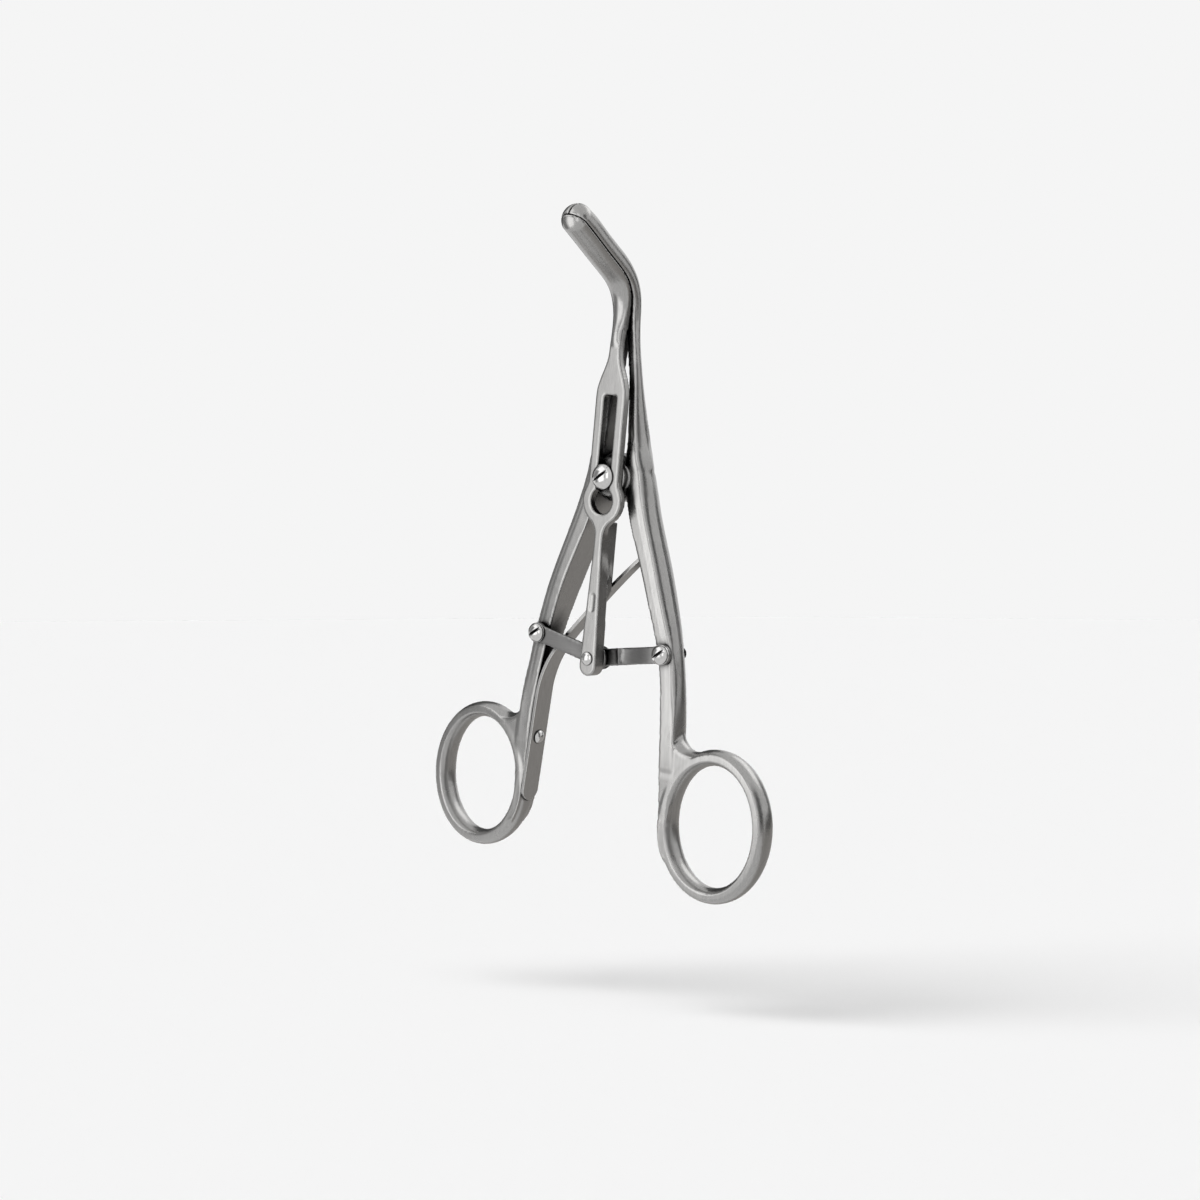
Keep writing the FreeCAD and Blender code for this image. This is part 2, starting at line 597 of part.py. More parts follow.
def leaf_spring():
    """A strip bent along a straight root, a short turn and one long bow, then cut to its taper."""
    bow = doc.addObject("Sketcher::SketchObject", "leaf_bow")
    bow.Placement = FreeCAD.Placement(FreeCAD.Vector(), FreeCAD.Rotation(FreeCAD.Vector(1, 0, 0), 90))
    bind(bow, "Placement.Base.y", "-leaf_middle")
    arcs = {
        1: ("leaf_turn_radius + leaf_thick / 2", True),
        2: ("leaf_bow_radius + leaf_thick / 2", True),
        4: ("leaf_bow_radius - leaf_thick / 2", False),
        5: ("leaf_turn_radius - leaf_thick / 2", False),
    }
    outline(bow, leaf_side("-") + list(reversed(leaf_side("+"))), arcs)
    strip = extruded("leaf_strip", bow, "leaf_root_width * 2", both_ways=True)
    taper = doc.addObject("Sketcher::SketchObject", "leaf_taper")
    facing_across = FreeCAD.Rotation(FreeCAD.Vector(0, 1, 0), FreeCAD.Vector(0, 0, 1), FreeCAD.Vector(1, 0, 0))
    taper.Placement = FreeCAD.Placement(FreeCAD.Vector(), facing_across)
    bind(taper, "Placement.Base.y", "-leaf_middle")
    bind(taper, "Placement.Base.x", "-leaf_foot_across * 1.5")
    straight = "(-leaf_foot_drop + leaf_root_width / 2)"
    corners = [
        ("-leaf_root_width / 2", straight),
        ("leaf_root_width / 2", straight),
        ("leaf_root_width / 2", "-leaf_root_drop"),
        ("leaf_tip_width / 2", "-leaf_tip_drop + leaf_thick"),
        ("-leaf_tip_width / 2", "-leaf_tip_drop + leaf_thick"),
        ("-leaf_root_width / 2", "-leaf_root_drop"),
    ]
    outline(taper, corners, {0: ("leaf_root_width * 0.5001", False)})
    width = extruded("leaf_width", taper, "leaf_foot_across * 3")
    return common("leaf_shape", strip, width)


# Turned pieces: revolved from half a profile, with a dome in front and a closed-over end behind

def turned_piece(name, head, dome, shank, tail, front, back, end_dome="tail_dome", sideways=False):
    """front and back are the depths of the two faces that hold the piece."""
    sketch = doc.addObject("Sketcher::SketchObject", name + "_profile")
    axis = FreeCAD.Vector(0, 1, 0)
    if sideways:
        axis = FreeCAD.Vector(-1, 0, 0)
        sketch.Placement = FreeCAD.Placement(FreeCAD.Vector(), FreeCAD.Rotation(
            FreeCAD.Vector(0, 0, 1), FreeCAD.Vector(-1, 0, 0), FreeCAD.Vector(0, -1, 0)))
    rim = "(%s) - head_rim" % front
    corners = [
        ("0", rim + " - " + dome),
        ("0", "(%s) + %s" % (back, end_dome)),
        (tail, back),
    ]
    if tail != shank:
        corners.append((shank, back))
    corners += [(shank, front), (head, front), (head, rim)]
    head_radius = "((%s)^2 + (%s)^2) / (2 * (%s))" % (head, dome, dome)
    tail_radius = "((%s)^2 + (%s)^2) / (2 * (%s))" % (tail, end_dome, end_dome)
    outline(sketch, corners, {1: (tail_radius, True), len(corners) - 1: (head_radius, True)})
    turned = doc.addObject("Part::Revolution", name + "_turned")
    turned.Source = sketch
    turned.Axis = axis
    turned.Angle = 360
    turned.Solid = True
    return turned


def finished(piece, label, across="0", height="0"):
    piece.Label = label
    place(piece, across, "0", height)
    return piece


def slotted_screw(label, head, dome, shank, tail, front, back, across="0", height="0",
                  end_dome="tail_dome"):
    """A screw whose domed head has a screwdriver slot."""
    turned = turned_piece(label, head, dome, shank, tail, front, back, end_dome)
    top = "(%s) - head_rim - (%s)" % (front, dome)
    bar = doc.addObject("Part::Box", label + "_driver_bar")
    bind(bar, "Length", "(%s) * 4" % head)
    bind(bar, "Width", "driver_depth * 2")
    bind(bar, "Height", "driver_slot")
    bind(bar, "Placement.Base.x", "-(%s) * 2" % head)
    bind(bar, "Placement.Base.y", "%s - driver_depth" % top)
    bind(bar, "Placement.Base.z", "-driver_slot / 2")
    screw = cut(label, turned, bar)
    screw.Placement = FreeCAD.Placement(
        FreeCAD.Vector(), FreeCAD.Rotation(FreeCAD.Vector(0, 1, 0), -40))
    bind(screw, "Placement.Rotation.Angle", "-driver_turn * 1deg")
    return finished(screw, label, across, height)


def washer(label, outer, bore, front, thickness, across="0", height="0"):
    disc = rod(label + "_disc", outer, front, thickness)
    hole = rod(label + "_bore", bore, "(%s) - %s" % (front, thickness), thickness + " * 3")
    return finished(cut(label, disc, hole), label, across, height)


def spring_rivet():
    """A domed rivet square to the root of the leaf, and the room that its shank takes up."""
    share = "((rivet_drop - leaf_root_drop) / (leaf_foot_drop - leaf_root_drop))"
    across = "(-leaf_root_across - (leaf_foot_across - leaf_root_across) * %s)" % share
    rivet = turned_piece("spring_rivet", "rivet_head_radius", "rivet_head_dome", "rivet_radius",
                         "rivet_radius", "-leaf_thick / 2", "rivet_length", "rivet_radius / 4", True)
    rivet.Placement = FreeCAD.Placement(FreeCAD.Vector(), FreeCAD.Rotation(FreeCAD.Vector(0, 1, 0), 5))
    bind(rivet, "Placement.Rotation.Angle", LEAN)
    rivet.Label = "spring_rivet"
    place(rivet, across, "-leaf_middle", "-rivet_drop")
    room = doc.addObject("Part::Cylinder", "rivet_room")
    room.Placement = FreeCAD.Placement(FreeCAD.Vector(), FreeCAD.Rotation(FreeCAD.Vector(0, 1, 0), -85))
    bind(room, "Radius", "rivet_radius + fixed_play")
    bind(room, "Height", "rivet_length * 2 + rivet_radius / 2")
    bind(room, "Placement.Rotation.Angle", LEAN + " - 90deg")
    bind(room, "Placement.Base.x", "%s + rivet_length * cos(%s)" % (across, LEAN))
    bind(room, "Placement.Base.y", "-leaf_middle")
    bind(room, "Placement.Base.z", "-rivet_drop - rivet_length * sin(%s)" % LEAN)
    return rivet, room



# Links

def link(label, set_back, turn, across):
    """A flat bar with round eyes. The right one is set back to pass behind the left."""
    bar = doc.addObject("Sketcher::SketchObject", label + "_outline")
    bar.Placement = FreeCAD.Placement(FreeCAD.Vector(), FreeCAD.Rotation(FreeCAD.Vector(1, 0, 0), 90))
    bind(bar, "Placement.Base.y", "plate_face * 2")
    outer_x = "sqrt(link_outer_eye^2 - (link_width / 2)^2)"
    inner_x = "(%s - sqrt(link_inner_eye^2 - (link_width / 2)^2))" % LINK_LENGTH
    corners = [
        (outer_x, "-link_width / 2"),
        (inner_x, "-link_width / 2"),
        ("%s + link_inner_eye" % LINK_LENGTH, "0"),
        (inner_x, "link_width / 2"),
        (outer_x, "link_width / 2"),
        ("-link_outer_eye", "0"),
    ]
    arcs = {1: ("link_inner_eye", False), 2: ("link_inner_eye", False),
            4: ("link_outer_eye", False), 5: ("link_outer_eye", False)}
    outline(bar, corners, arcs)
    plan = extruded(label + "_plan", bar, "plate_face * 4")
    side = doc.addObject("Sketcher::SketchObject", label + "_side")
    bind(side, "Placement.Base.z", "-link_width * 2")
    front = "(-%s)" % LINK_FRONT
    step = "(link_thick + link_gap)" if set_back else "0"
    bend_end = "link_step_start + link_step_run"
    far = "%s + link_inner_eye * 2" % LINK_LENGTH
    near = "-link_outer_eye * 2"
    back = "(%s + link_thick)" % front
    if set_back:
        corners = [
            (near, front), ("link_step_start", front), (bend_end, front + " + " + step),
            (far, front + " + " + step), (far, back + " + " + step),
            (bend_end, back + " + " + step), ("link_step_start", back), (near, back),
        ]
    else:
        corners = [(near, front), (far, front), (far, back), (near, back)]
    outline(side, corners)
    thickness = extruded(label + "_thickness", side, "link_width * 4")
    blank = common(label + "_blank", plan, thickness)
    outer_hole = rod(label + "_outer_hole", "link_screw_radius + link_screw_play", "-plate_face", "plate_face * 2")
    inner_hole = rod(label + "_inner_hole", "pin_radius + pin_play", "-plate_face", "plate_face * 2", LINK_LENGTH)
    bored = cut(label, blank, outer_hole, inner_hole)
    bored.Placement = FreeCAD.Placement(FreeCAD.Vector(), FreeCAD.Rotation(FreeCAD.Vector(0, 1, 0), 10))
    bind(bored, "Placement.Rotation.Angle", turn)
    return finished(bored, label, across, "-link_seat_drop")


# Centre blade

def plane_of(body, role):
    for feature in body.Origin.OriginFeatures:
        if feature.Role == role:
            return feature
    raise RuntimeError("no plane " + role)


def body_sketch(body, name, role, offset="0"):
    """A sketch on a base plane of the body, moved along that plane's own normal."""
    sketch = body.newObject("Sketcher::SketchObject", name)
    sketch.AttachmentSupport = (plane_of(body, role), [""])
    sketch.MapMode = "FlatFace"
    bind(sketch, "AttachmentOffset.Base.z", offset)
    return sketch


def pad(body, name, sketch, length, both_ways=False, backwards=False):
    feature = body.newObject("PartDesign::Pad", name)
    feature.Profile = sketch
    feature.Midplane = both_ways
    feature.Reversed = backwards
    bind(feature, "Length", length)
    return feature


def pocket(body, name, sketch, length, backwards=False):
    feature = body.newObject("PartDesign::Pocket", name)
    feature.Profile = sketch
    feature.Reversed = backwards
    bind(feature, "Length", length)
    return feature


def mirrored_corners(right_side):
    """Corners down the right side of a symmetric outline, then back up the left side."""
    return right_side + [("-(%s)" % u, w) for u, w in reversed(right_side)]


def upright_edges(feature, places):
    """Names of the edges along Y that stand at the given places."""
    names = []
    for u, w in places:
        for number, edge in enumerate(feature.Shape.Edges, start=1):
            middle = edge.BoundBox.Center
            straight = edge.BoundBox.XLength < 0.01 and edge.BoundBox.ZLength < 0.01
            if straight and abs(middle.x - u) < 0.05 and abs(middle.z - w) < 0.05:
                names.append("Edge%d" % number)
    return names


def blend(body, name, places, radius):
    """Round the upright edges at the given places and at their mirror places."""
    base = body.Tip
    doc.recompute()
    spots = [(sign * value_of(u), value_of(w)) for u, w in places for sign in (1, -1)]
    feature = body.newObject("PartDesign::Fillet", name)
    feature.Base = (base, upright_edges(base, spots))
    bind(feature, "Radius", radius)
    return feature


def centre_blade_section(body, label, half, back, front, bulge, share="0", run="0", height=None):
    """Across the centre blade, square to the bend: flat to the seam and rounded in front."""
    sketch = body.newObject("Sketcher::SketchObject", "centre_section_" + label)
    sketch.AttachmentSupport = (plane_of(body, "XY_Plane"), [""])
    sketch.MapMode = "FlatFace"
    sketch.AttachmentOffset = FreeCAD.Placement(
        FreeCAD.Vector(), FreeCAD.Rotation(FreeCAD.Vector(1, 0, 0), 30))
    bind(sketch, "AttachmentOffset.Rotation.Angle", "%s * bend_angle * 1deg" % share)
    if height is None:
        depth = BEND_Y % share + " - (%s) * sin(%s * bend_angle * 1deg)" % (run, share)
        height = BEND_Z % share + " + (%s) * cos(%s * bend_angle * 1deg)" % (run, share)
    else:
        depth = "-seam_face"
    bind(sketch, "AttachmentOffset.Base.y", depth)
    bind(sketch, "AttachmentOffset.Base.z", height)
    corners = [
        ("-(%s)" % half, "-(%s)" % back),
        ("-(%s)" % half, "-(%s) + (%s)" % (front, bulge)),
        (half, "-(%s) + (%s)" % (front, bulge)),
        (half, "-(%s)" % back),
    ]
    radius = "((%s)^2 + (%s)^2) / (2 * (%s))" % (half, bulge, bulge)
    return outline(sketch, corners, {1: (radius, False)})


def centre_blade(mould):
    body = doc.addObject("PartDesign::Body", "centre_blade_body")
    join_high = "(-keyhole_drop + sqrt(%s^2 - plate_half^2))" % KEYHOLE_RING
    join_low = "(-keyhole_drop - sqrt(%s^2 - stem_waist_half^2))" % KEYHOLE_RING
    foot_arc = "(stem_foot_half * 1.0001)"
    foot_low = "(-pin_drop - stem_foot_end + stem_foot_half)"

    plate = body_sketch(body, "plate_outline", "XZ_Plane", PLATE_BACK)
    right_side = [
        ("neck_half", "neck_top"),
        ("neck_half", "shoulder_high"),
        ("plate_half", "shoulder_low"),
        ("plate_half", join_high),
        ("stem_waist_half", join_low),
        ("stem_waist_half", "-stem_waist_drop"),
        ("stem_foot_half", foot_low),
    ]
    outline(plate, mirrored_corners(right_side),
            {3: (KEYHOLE_RING, True), 6: (foot_arc, True), 9: (KEYHOLE_RING, True)})
    pad(body, "plate", plate, "plate_thick")
    blend(body, "shoulder_corners", [("plate_half", "shoulder_low")], "shoulder_round")
    blend(body, "shoulder_blends", [("neck_half", "shoulder_high")], "shoulder_blend")
    blend(body, "rim_blends", [("plate_half", join_high)], "rim_blend")
    blend(body, "stem_blends", [("stem_waist_half", join_low)], "stem_blend")

    slot = body_sketch(body, "slot_outline", "XZ_Plane", PLATE_BACK)
    slot_low = "(-keyhole_drop + sqrt(keyhole_radius^2 - slot_half^2))"
    corners = [
        ("slot_half", slot_low),
        ("-slot_half", slot_low),
        ("-slot_half", "slot_top - slot_corner"),
        ("-slot_half + slot_corner", "slot_top"),
        ("slot_half - slot_corner", "slot_top"),
        ("slot_half", "slot_top - slot_corner"),
    ]
    outline(slot, corners, {2: ("slot_corner", True), 4: ("slot_corner", True)})
    pocket(body, "slot", slot, "plate_thick", True)
    keyhole = body_sketch(body, "keyhole_outline", "XZ_Plane", PLATE_BACK)
    circle(keyhole, "0", "-keyhole_drop", "keyhole_radius")
    pocket(body, "keyhole", keyhole, "plate_thick", True)

    doc.recompute()
    base = body.Tip
    front_face = None
    for number, face in enumerate(base.Shape.Faces, start=1):
        if abs(face.BoundBox.YMax + value_of("plate_face")) < 0.01:
            front_face = "Face%d" % number
    bevel = body.newObject("PartDesign::Chamfer", "plate_bevel")
    bevel.Base = (base, [front_face])
    bind(bevel, "Size", "plate_edge")

    stem = body_sketch(body, "stem_outline", "XZ_Plane", PLATE_BACK)
    stem_side = [
        ("stem_waist_half", "-heel_top_drop"),
        ("stem_waist_half", "-stem_waist_drop"),
        ("stem_foot_half", foot_low),
    ]
    outline(stem, mirrored_corners(stem_side), {2: (foot_arc, True)})
    pad(body, "stem", stem, "stem_depth - plate_thick", backwards=True)

    heel = body_sketch(body, "heel_outline", "YZ_Plane")
    heel_back = "(-plate_face + heel_reach)"
    run_out = "((heel_run^2 + (heel_reach - stem_depth)^2) / (2 * (heel_reach - stem_depth)))"
    heel_low = "(-heel_top_drop - heel_flat)"
    corners = [
        ("-%s" % PLATE_BACK, "-heel_top_drop"),
        (heel_back, "-heel_top_drop"),
        (heel_back, heel_low),
        ("-%s" % STEM_BACK, heel_low + " - heel_run"),
        ("-%s" % PLATE_BACK, heel_low + " - heel_run"),
    ]
    outline(heel, corners, {2: (run_out, False)})
    pad(body, "heel", heel, "stem_waist_half * 2", both_ways=True)

    pin_hole = body_sketch(body, "pin_hole_outline", "XZ_Plane", STEM_BACK)
    circle(pin_hole, "0", "-pin_drop", "pin_radius")
    pocket(body, "pin_hole", pin_hole, "stem_depth", True)

    mark = body_sketch(body, "mark_outline", "XZ_Plane", "plate_face")
    half_run = "(mark_length / 2 - mark_half)"
    corners = [
        ("mark_half", "-mark_drop - " + half_run),
        ("mark_half", "-mark_drop + " + half_run),
        ("-mark_half", "-mark_drop + " + half_run),
        ("-mark_half", "-mark_drop - " + half_run),
    ]
    outline(mark, corners, {1: ("mark_half * 1.0001", False), 3: ("mark_half * 1.0001", False)})
    pocket(body, "mark", mark, "mark_depth")

    low = "(neck_top - neck_half)"
    sections = [centre_blade_section(
        body, "neck", "neck_half", PLATE_BACK + " - seam_face", "plate_face - seam_face",
        "centre_root_bulge", height=low)]
    for label, half, thick, bulge, share in CENTRE_BENDS:
        sections.append(centre_blade_section(
            body, label, "centre_%s_half" % label, "seam_gap", "centre_%s_thick" % label,
            "centre_%s_bulge" % label, str(share)))
    for share in RUN_SHARES:
        sections.append(centre_blade_section(
            body, "run_%d" % (100 * share), between("centre_bend_d_half", "centre_tip_half", share),
            "seam_gap", between("centre_bend_d_thick", "centre_tip_thick", share),
            between("centre_bend_d_bulge", "centre_tip_bulge", share), "1.0", "tip_reach * %s" % share))
    bent = body.newObject("PartDesign::AdditiveLoft", "bent_blade")
    bent.Profile = (sections[0], [""])
    bent.Sections = [(section, [""]) for section in sections[1:]]
    bent.Ruled = False
    whole = cut("centre_blade", body, mould)
    return finished(whole, "centre_blade")


mould = tip_mould()
forging = right_hand_forging(mould)
leaf = leaf_spring()
rivet, rivet_room = spring_rivet()
spring = finished(cut("leaf_spring", leaf, rivet_room), "leaf_spring")

WASHER_FRONT = "-(%s + link_gap + washer_thick)" % LINK_FRONT
PIN_WASHER_FRONT = "(-%s + link_thick * 2 + link_gap * 2)" % LINK_FRONT
NODES = [
    left_arm(forging, leaf, rivet_room),
    right_arm(forging),
    centre_blade(mould),
    slotted_screw("pivot_screw", "pivot_head_radius", "pivot_head_dome", "pivot_radius", "pivot_radius",
                  "-(plate_face + link_gap)", PIVOT_TAIL, end_dome="pivot_end_dome"),
    washer("pivot_nut", "nut_radius", "pivot_radius + fixed_play", "lug_back + link_gap", "nut_thick"),
    link("left_link", False, LINK_TILT, "-link_across"),
    link("right_link", True, "180deg - " + LINK_TILT, "link_across"),
]
for side, across in (("left", "-link_across"), ("right", "link_across")):
    NODES.append(slotted_screw(
        side + "_link_screw", "link_head_radius", "link_head_dome", "link_screw_radius",
        "link_tail_radius", WASHER_FRONT, "link_tail_plane", across, "-link_seat_drop"))
    NODES.append(washer(
        side + "_link_washer", "washer_radius", "link_screw_radius + fixed_play", WASHER_FRONT,
        "washer_thick", across, "-link_seat_drop"))
pin = turned_piece("link_pin", "pin_head_radius", "pin_head_dome", "pin_radius", "pin_tail_radius",
                   "-plate_face", PIN_WASHER_FRONT + " + washer_thick", "pin_end_dome")
NODES.append(finished(pin, "link_pin", height="-pin_drop"))
NODES.append(washer(
    "link_pin_washer", "pin_washer_radius", "pin_radius + fixed_play", PIN_WASHER_FRONT,
    "washer_thick", height="-pin_drop"))
NODES.append(spring)
NODES.append(rivet)
doc.recompute()

# Every object of the document must be sound before anything is written
unsound = []
for thing in doc.Objects:
    if any("Invalid" in state or "Error" in state for state in thing.State):
        unsound.append("%s is %s" % (thing.Label, " ".join(thing.State)))
    elif thing.TypeId.startswith(("Part::", "PartDesign::", "Sketcher::")):
        if thing.Shape.isNull() or not thing.Shape.isValid():
            unsound.append("%s has no sound shape" % thing.Label)
if unsound:
    raise RuntimeError("; ".join(unsound))

os.makedirs("parts", exist_ok=True)
whole = FreeCAD.BoundBox()
for node in NODES:
    if len(node.Shape.Solids) != 1:
        raise RuntimeError("%s has %d solids" % (node.Label, len(node.Shape.Solids)))
    node.Shape.exportStep(os.path.join("parts", node.Label + ".step"))
    whole.add(node.Shape.optimalBoundingBox(False))
    print("%-18s %9.2f mm3" % (node.Label, node.Shape.Volume))
print("whole instrument, mm:", [round(value, 3) for value in (
    whole.XMin, whole.XMax, whole.YMin, whole.YMax, whole.ZMin, whole.ZMax)])
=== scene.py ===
# %% [markdown]
# A tracheal dilator is a small all-steel instrument. Two ring handles turn on one screw, two side
# blades open as the rings close, and a third blade in front is drawn down by two link bars.
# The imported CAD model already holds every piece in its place, so this lesson is about steel:
# how satin, ground, polished and sprung steel differ, and how a camera and lamps show that. Near
# the end the forged pieces are softened too, because CAD corners are harder than forged ones.

# %% Load the frame
import math

import bpy
import numpy as np
from mathutils import Matrix, Vector


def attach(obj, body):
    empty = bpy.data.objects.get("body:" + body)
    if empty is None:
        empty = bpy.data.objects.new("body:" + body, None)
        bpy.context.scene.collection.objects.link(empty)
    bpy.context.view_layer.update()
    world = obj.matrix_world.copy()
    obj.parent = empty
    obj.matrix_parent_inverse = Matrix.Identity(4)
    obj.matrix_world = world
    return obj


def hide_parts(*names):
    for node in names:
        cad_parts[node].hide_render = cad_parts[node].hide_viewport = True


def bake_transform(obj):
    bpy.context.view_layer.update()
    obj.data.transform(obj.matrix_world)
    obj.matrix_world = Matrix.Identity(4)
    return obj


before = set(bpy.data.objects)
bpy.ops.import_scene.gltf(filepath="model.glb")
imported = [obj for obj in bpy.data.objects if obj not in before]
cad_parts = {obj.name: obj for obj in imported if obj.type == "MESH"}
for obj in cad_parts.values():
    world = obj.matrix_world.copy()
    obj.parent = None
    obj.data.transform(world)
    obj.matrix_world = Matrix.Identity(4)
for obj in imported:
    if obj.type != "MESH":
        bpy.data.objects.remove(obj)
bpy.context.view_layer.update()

# %% [markdown]
# The photograph was taken from the front right and a little above, with the instrument leaning to
# the right in the picture. A camera can be aimed by angles, but measured directions are surer, so
# its three axes are written down as vectors. The same axes serve later, for the floor and for the
# suns, because both are level for the camera and the instrument leans between them.

# %% Axes of the picture
PIVOT = Vector((0.0, 0.0109286, 0.0152933))
AZIMUTH = math.radians(37.9)
ELEVATION = math.radians(5.8)
LEAN = math.radians(5.0)


def direction(azimuth, elevation):
    """The way from the pivot to a place: azimuth 0 is in front, a quarter turn is on the right."""
    return Vector((
        math.sin(azimuth) * math.cos(elevation),
        -math.cos(azimuth) * math.cos(elevation),
        math.sin(elevation),
    ))


towards_camera = direction(AZIMUTH, ELEVATION)
level_right = Vector((math.cos(AZIMUTH), math.sin(AZIMUTH), 0.0))
level_up = level_right.cross(-towards_camera)
picture_right = level_right * math.cos(LEAN) + level_up * math.sin(LEAN)
picture_up = level_up * math.cos(LEAN) - level_right * math.sin(LEAN)
print("up in the picture is", [round(v, 3) for v in picture_up])

# %% [markdown]
# The axes become the columns of the camera's matrix: right, up, and back towards the camera. A
# long lens keeps the two rings nearly the same size, as they are in the picture.

# %% Camera
DISTANCE = 0.477
SIDE_SHIFT = -0.00277
RISE = -0.02654
LENS = 66.96
SENSOR_WIDTH = 36.0
NEAREST = 0.01
FARTHEST = 20.0

camera_data = bpy.data.cameras.new("camera")
camera_data.sensor_fit = "HORIZONTAL"
camera_data.sensor_width = SENSOR_WIDTH
camera_data.lens = LENS
camera_data.clip_start = NEAREST
camera_data.clip_end = FARTHEST
camera = bpy.data.objects.new("camera", camera_data)
bpy.context.scene.collection.objects.link(camera)
stand_point = PIVOT + towards_camera * DISTANCE + level_right * SIDE_SHIFT + level_up * RISE
turn = Matrix((picture_right, picture_up, towards_camera)).transposed()
camera.matrix_world = Matrix.Translation(stand_point) @ turn.to_4x4()
bpy.context.scene.camera = camera
print("camera stands at", [round(v, 3) for v in stand_point])

# %% [markdown]
# In the picture the instrument hangs over a pale ground and leaves only a wide, faint shadow low
# on the right. A large plane below the rings catches that shadow. It is turned with the camera
# and has a plain diffuse surface. Reflections don't see it: what the steel mirrors of the ground
# is a card, further down, so the floor can stay where its shadow is right.

# %% Floor
FLOOR_DROP = 0.1135
FLOOR_REACH = 8.0
PALE = 0.913


def add_node(tree, kind, place, label="", inputs=None):
    node = tree.nodes.new(kind)
    node.location = place
    node.label = label
    for socket, value in (inputs or {}).items():
        node.inputs[socket].default_value = value
    return node


def empty_material(name):
    material = bpy.data.materials.new(name)
    material.use_nodes = True
    material.node_tree.nodes.clear()
    return material


def stage_plane(name, size, material):
    mesh = bpy.data.meshes.new(name)
    w = size[0] / 2
    h = size[1] / 2
    mesh.from_pydata([(-w, -h, 0), (w, -h, 0), (w, h, 0), (-w, h, 0)], [], [(0, 1, 2, 3)])
    mesh.materials.append(material)
    plane = bpy.data.objects.new(name, mesh)
    bpy.context.scene.collection.objects.link(plane)
    return plane


def aim(thing, way):
    """Turns a plane or a lamp so that its own Z axis points along the way."""
    thing.rotation_mode = "QUATERNION"
    thing.rotation_quaternion = way.to_track_quat("Z", "Y")


pale_paper = empty_material("pale_paper")
tree = pale_paper.node_tree
paper = add_node(
    tree, "ShaderNodeBsdfDiffuse", (0, 0), "plain paper", {"Color": (PALE, PALE, PALE, 1.0)},
)
surface = add_node(tree, "ShaderNodeOutputMaterial", (250, 0))
tree.links.new(paper.outputs["BSDF"], surface.inputs["Surface"])
floor = stage_plane("floor", (2 * FLOOR_REACH, 2 * FLOOR_REACH), pale_paper)
floor.location = PIVOT - picture_up * FLOOR_DROP
floor.visible_glossy = False
aim(floor, picture_up)
print("floor lies", round(1000 * FLOOR_DROP, 1), "mm below the pivot")

# %% [markdown]
# The world does two jobs. Camera rays and mirror-like rays meet the same paleness as the floor.
# All other rays meet a softer glow, which lights the floor together with the suns of the next
# cell. The Light Path node tells the rays apart, and two Maximum nodes say "any of these".

# %% World
SKY_SHARE = 0.2

world = bpy.data.worlds.new("studio")
world.use_nodes = True
bpy.context.scene.world = world
tree = world.node_tree
tree.nodes.clear()
seen = add_node(
    tree, "ShaderNodeBackground", (0, 200), "what camera and mirrors see",
    {"Color": (PALE, PALE, PALE, 1.0), "Strength": 1.0},
)
glow = add_node(
    tree, "ShaderNodeBackground", (0, 0), "what lights the floor",
    {"Color": (1.0, 1.0, 1.0, 1.0), "Strength": SKY_SHARE},
)
ray = add_node(tree, "ShaderNodeLightPath", (-400, 400))
first = add_node(tree, "ShaderNodeMath", (-200, 400), "camera or gloss")
first.operation = "MAXIMUM"
second = add_node(tree, "ShaderNodeMath", (-50, 400), "or glass")
second.operation = "MAXIMUM"
tree.links.new(ray.outputs["Is Camera Ray"], first.inputs[0])
tree.links.new(ray.outputs["Is Glossy Ray"], first.inputs[1])
tree.links.new(first.outputs[0], second.inputs[0])
tree.links.new(ray.outputs["Is Transmission Ray"], second.inputs[1])
either = add_node(tree, "ShaderNodeMixShader", (250, 100))
tree.links.new(second.outputs[0], either.inputs[0])
tree.links.new(glow.outputs[0], either.inputs[1])
tree.links.new(seen.outputs[0], either.inputs[2])
sky = add_node(tree, "ShaderNodeOutputWorld", (450, 100))
tree.links.new(either.outputs[0], sky.inputs["Surface"])
bpy.context.scene.view_settings.view_transform = "Standard"
print("share of the light that comes from the sky:", SKY_SHARE)

# %% [markdown]
# Sky and suns add up to one, so the floor renders as the colour that was written for it. One sun
# would give a round blur. A row of wide suns, high on the left and a little in front, spreads the
# shadow sideways into the long band that the picture shows. Steel would mirror each sun as a
# small burnt spot, so reflections don't see them.

# %% Row of suns
SUN_LEFT = 0.75
SUN_FRONT = 0.3
SUN_SPREAD = math.radians(38.0)
SUN_STEPS = (-0.6, -0.3, 0.0, 0.3, 0.6)

sun_way = picture_up - picture_right * SUN_LEFT + towards_camera * SUN_FRONT
for i, step in enumerate(SUN_STEPS):
    way = (sun_way + picture_right * step).normalized()
    sun_data = bpy.data.lights.new("sun_%d" % i, "SUN")
    sun_data.angle = SUN_SPREAD
    sun_data.energy = (1.0 - SKY_SHARE) * math.pi / way.dot(picture_up) / len(SUN_STEPS)
    sun = bpy.data.objects.new(sun_data.name, sun_data)
    sun.visible_glossy = False
    aim(sun, way)
    bpy.context.scene.collection.objects.link(sun)
    print(sun.name, "stands", round(math.degrees(math.asin(way.z))), "degrees high")

# %% [markdown]
# Steel has almost no colour of its own: it shows what stands around it. A photographer stands
# white, grey and black cards round the object. The white ones become pale sweeps, the others the
# dark bands that make a curve readable. Each card here is a plane that glows evenly, or runs from
# one brightness to another across its width. Only reflections can see the cards, so they leave
# the floor and the view of the camera alone.

# %% How a card is made
UNSEEN_BY = ("camera", "diffuse", "transmission", "shadow", "volume_scatter")


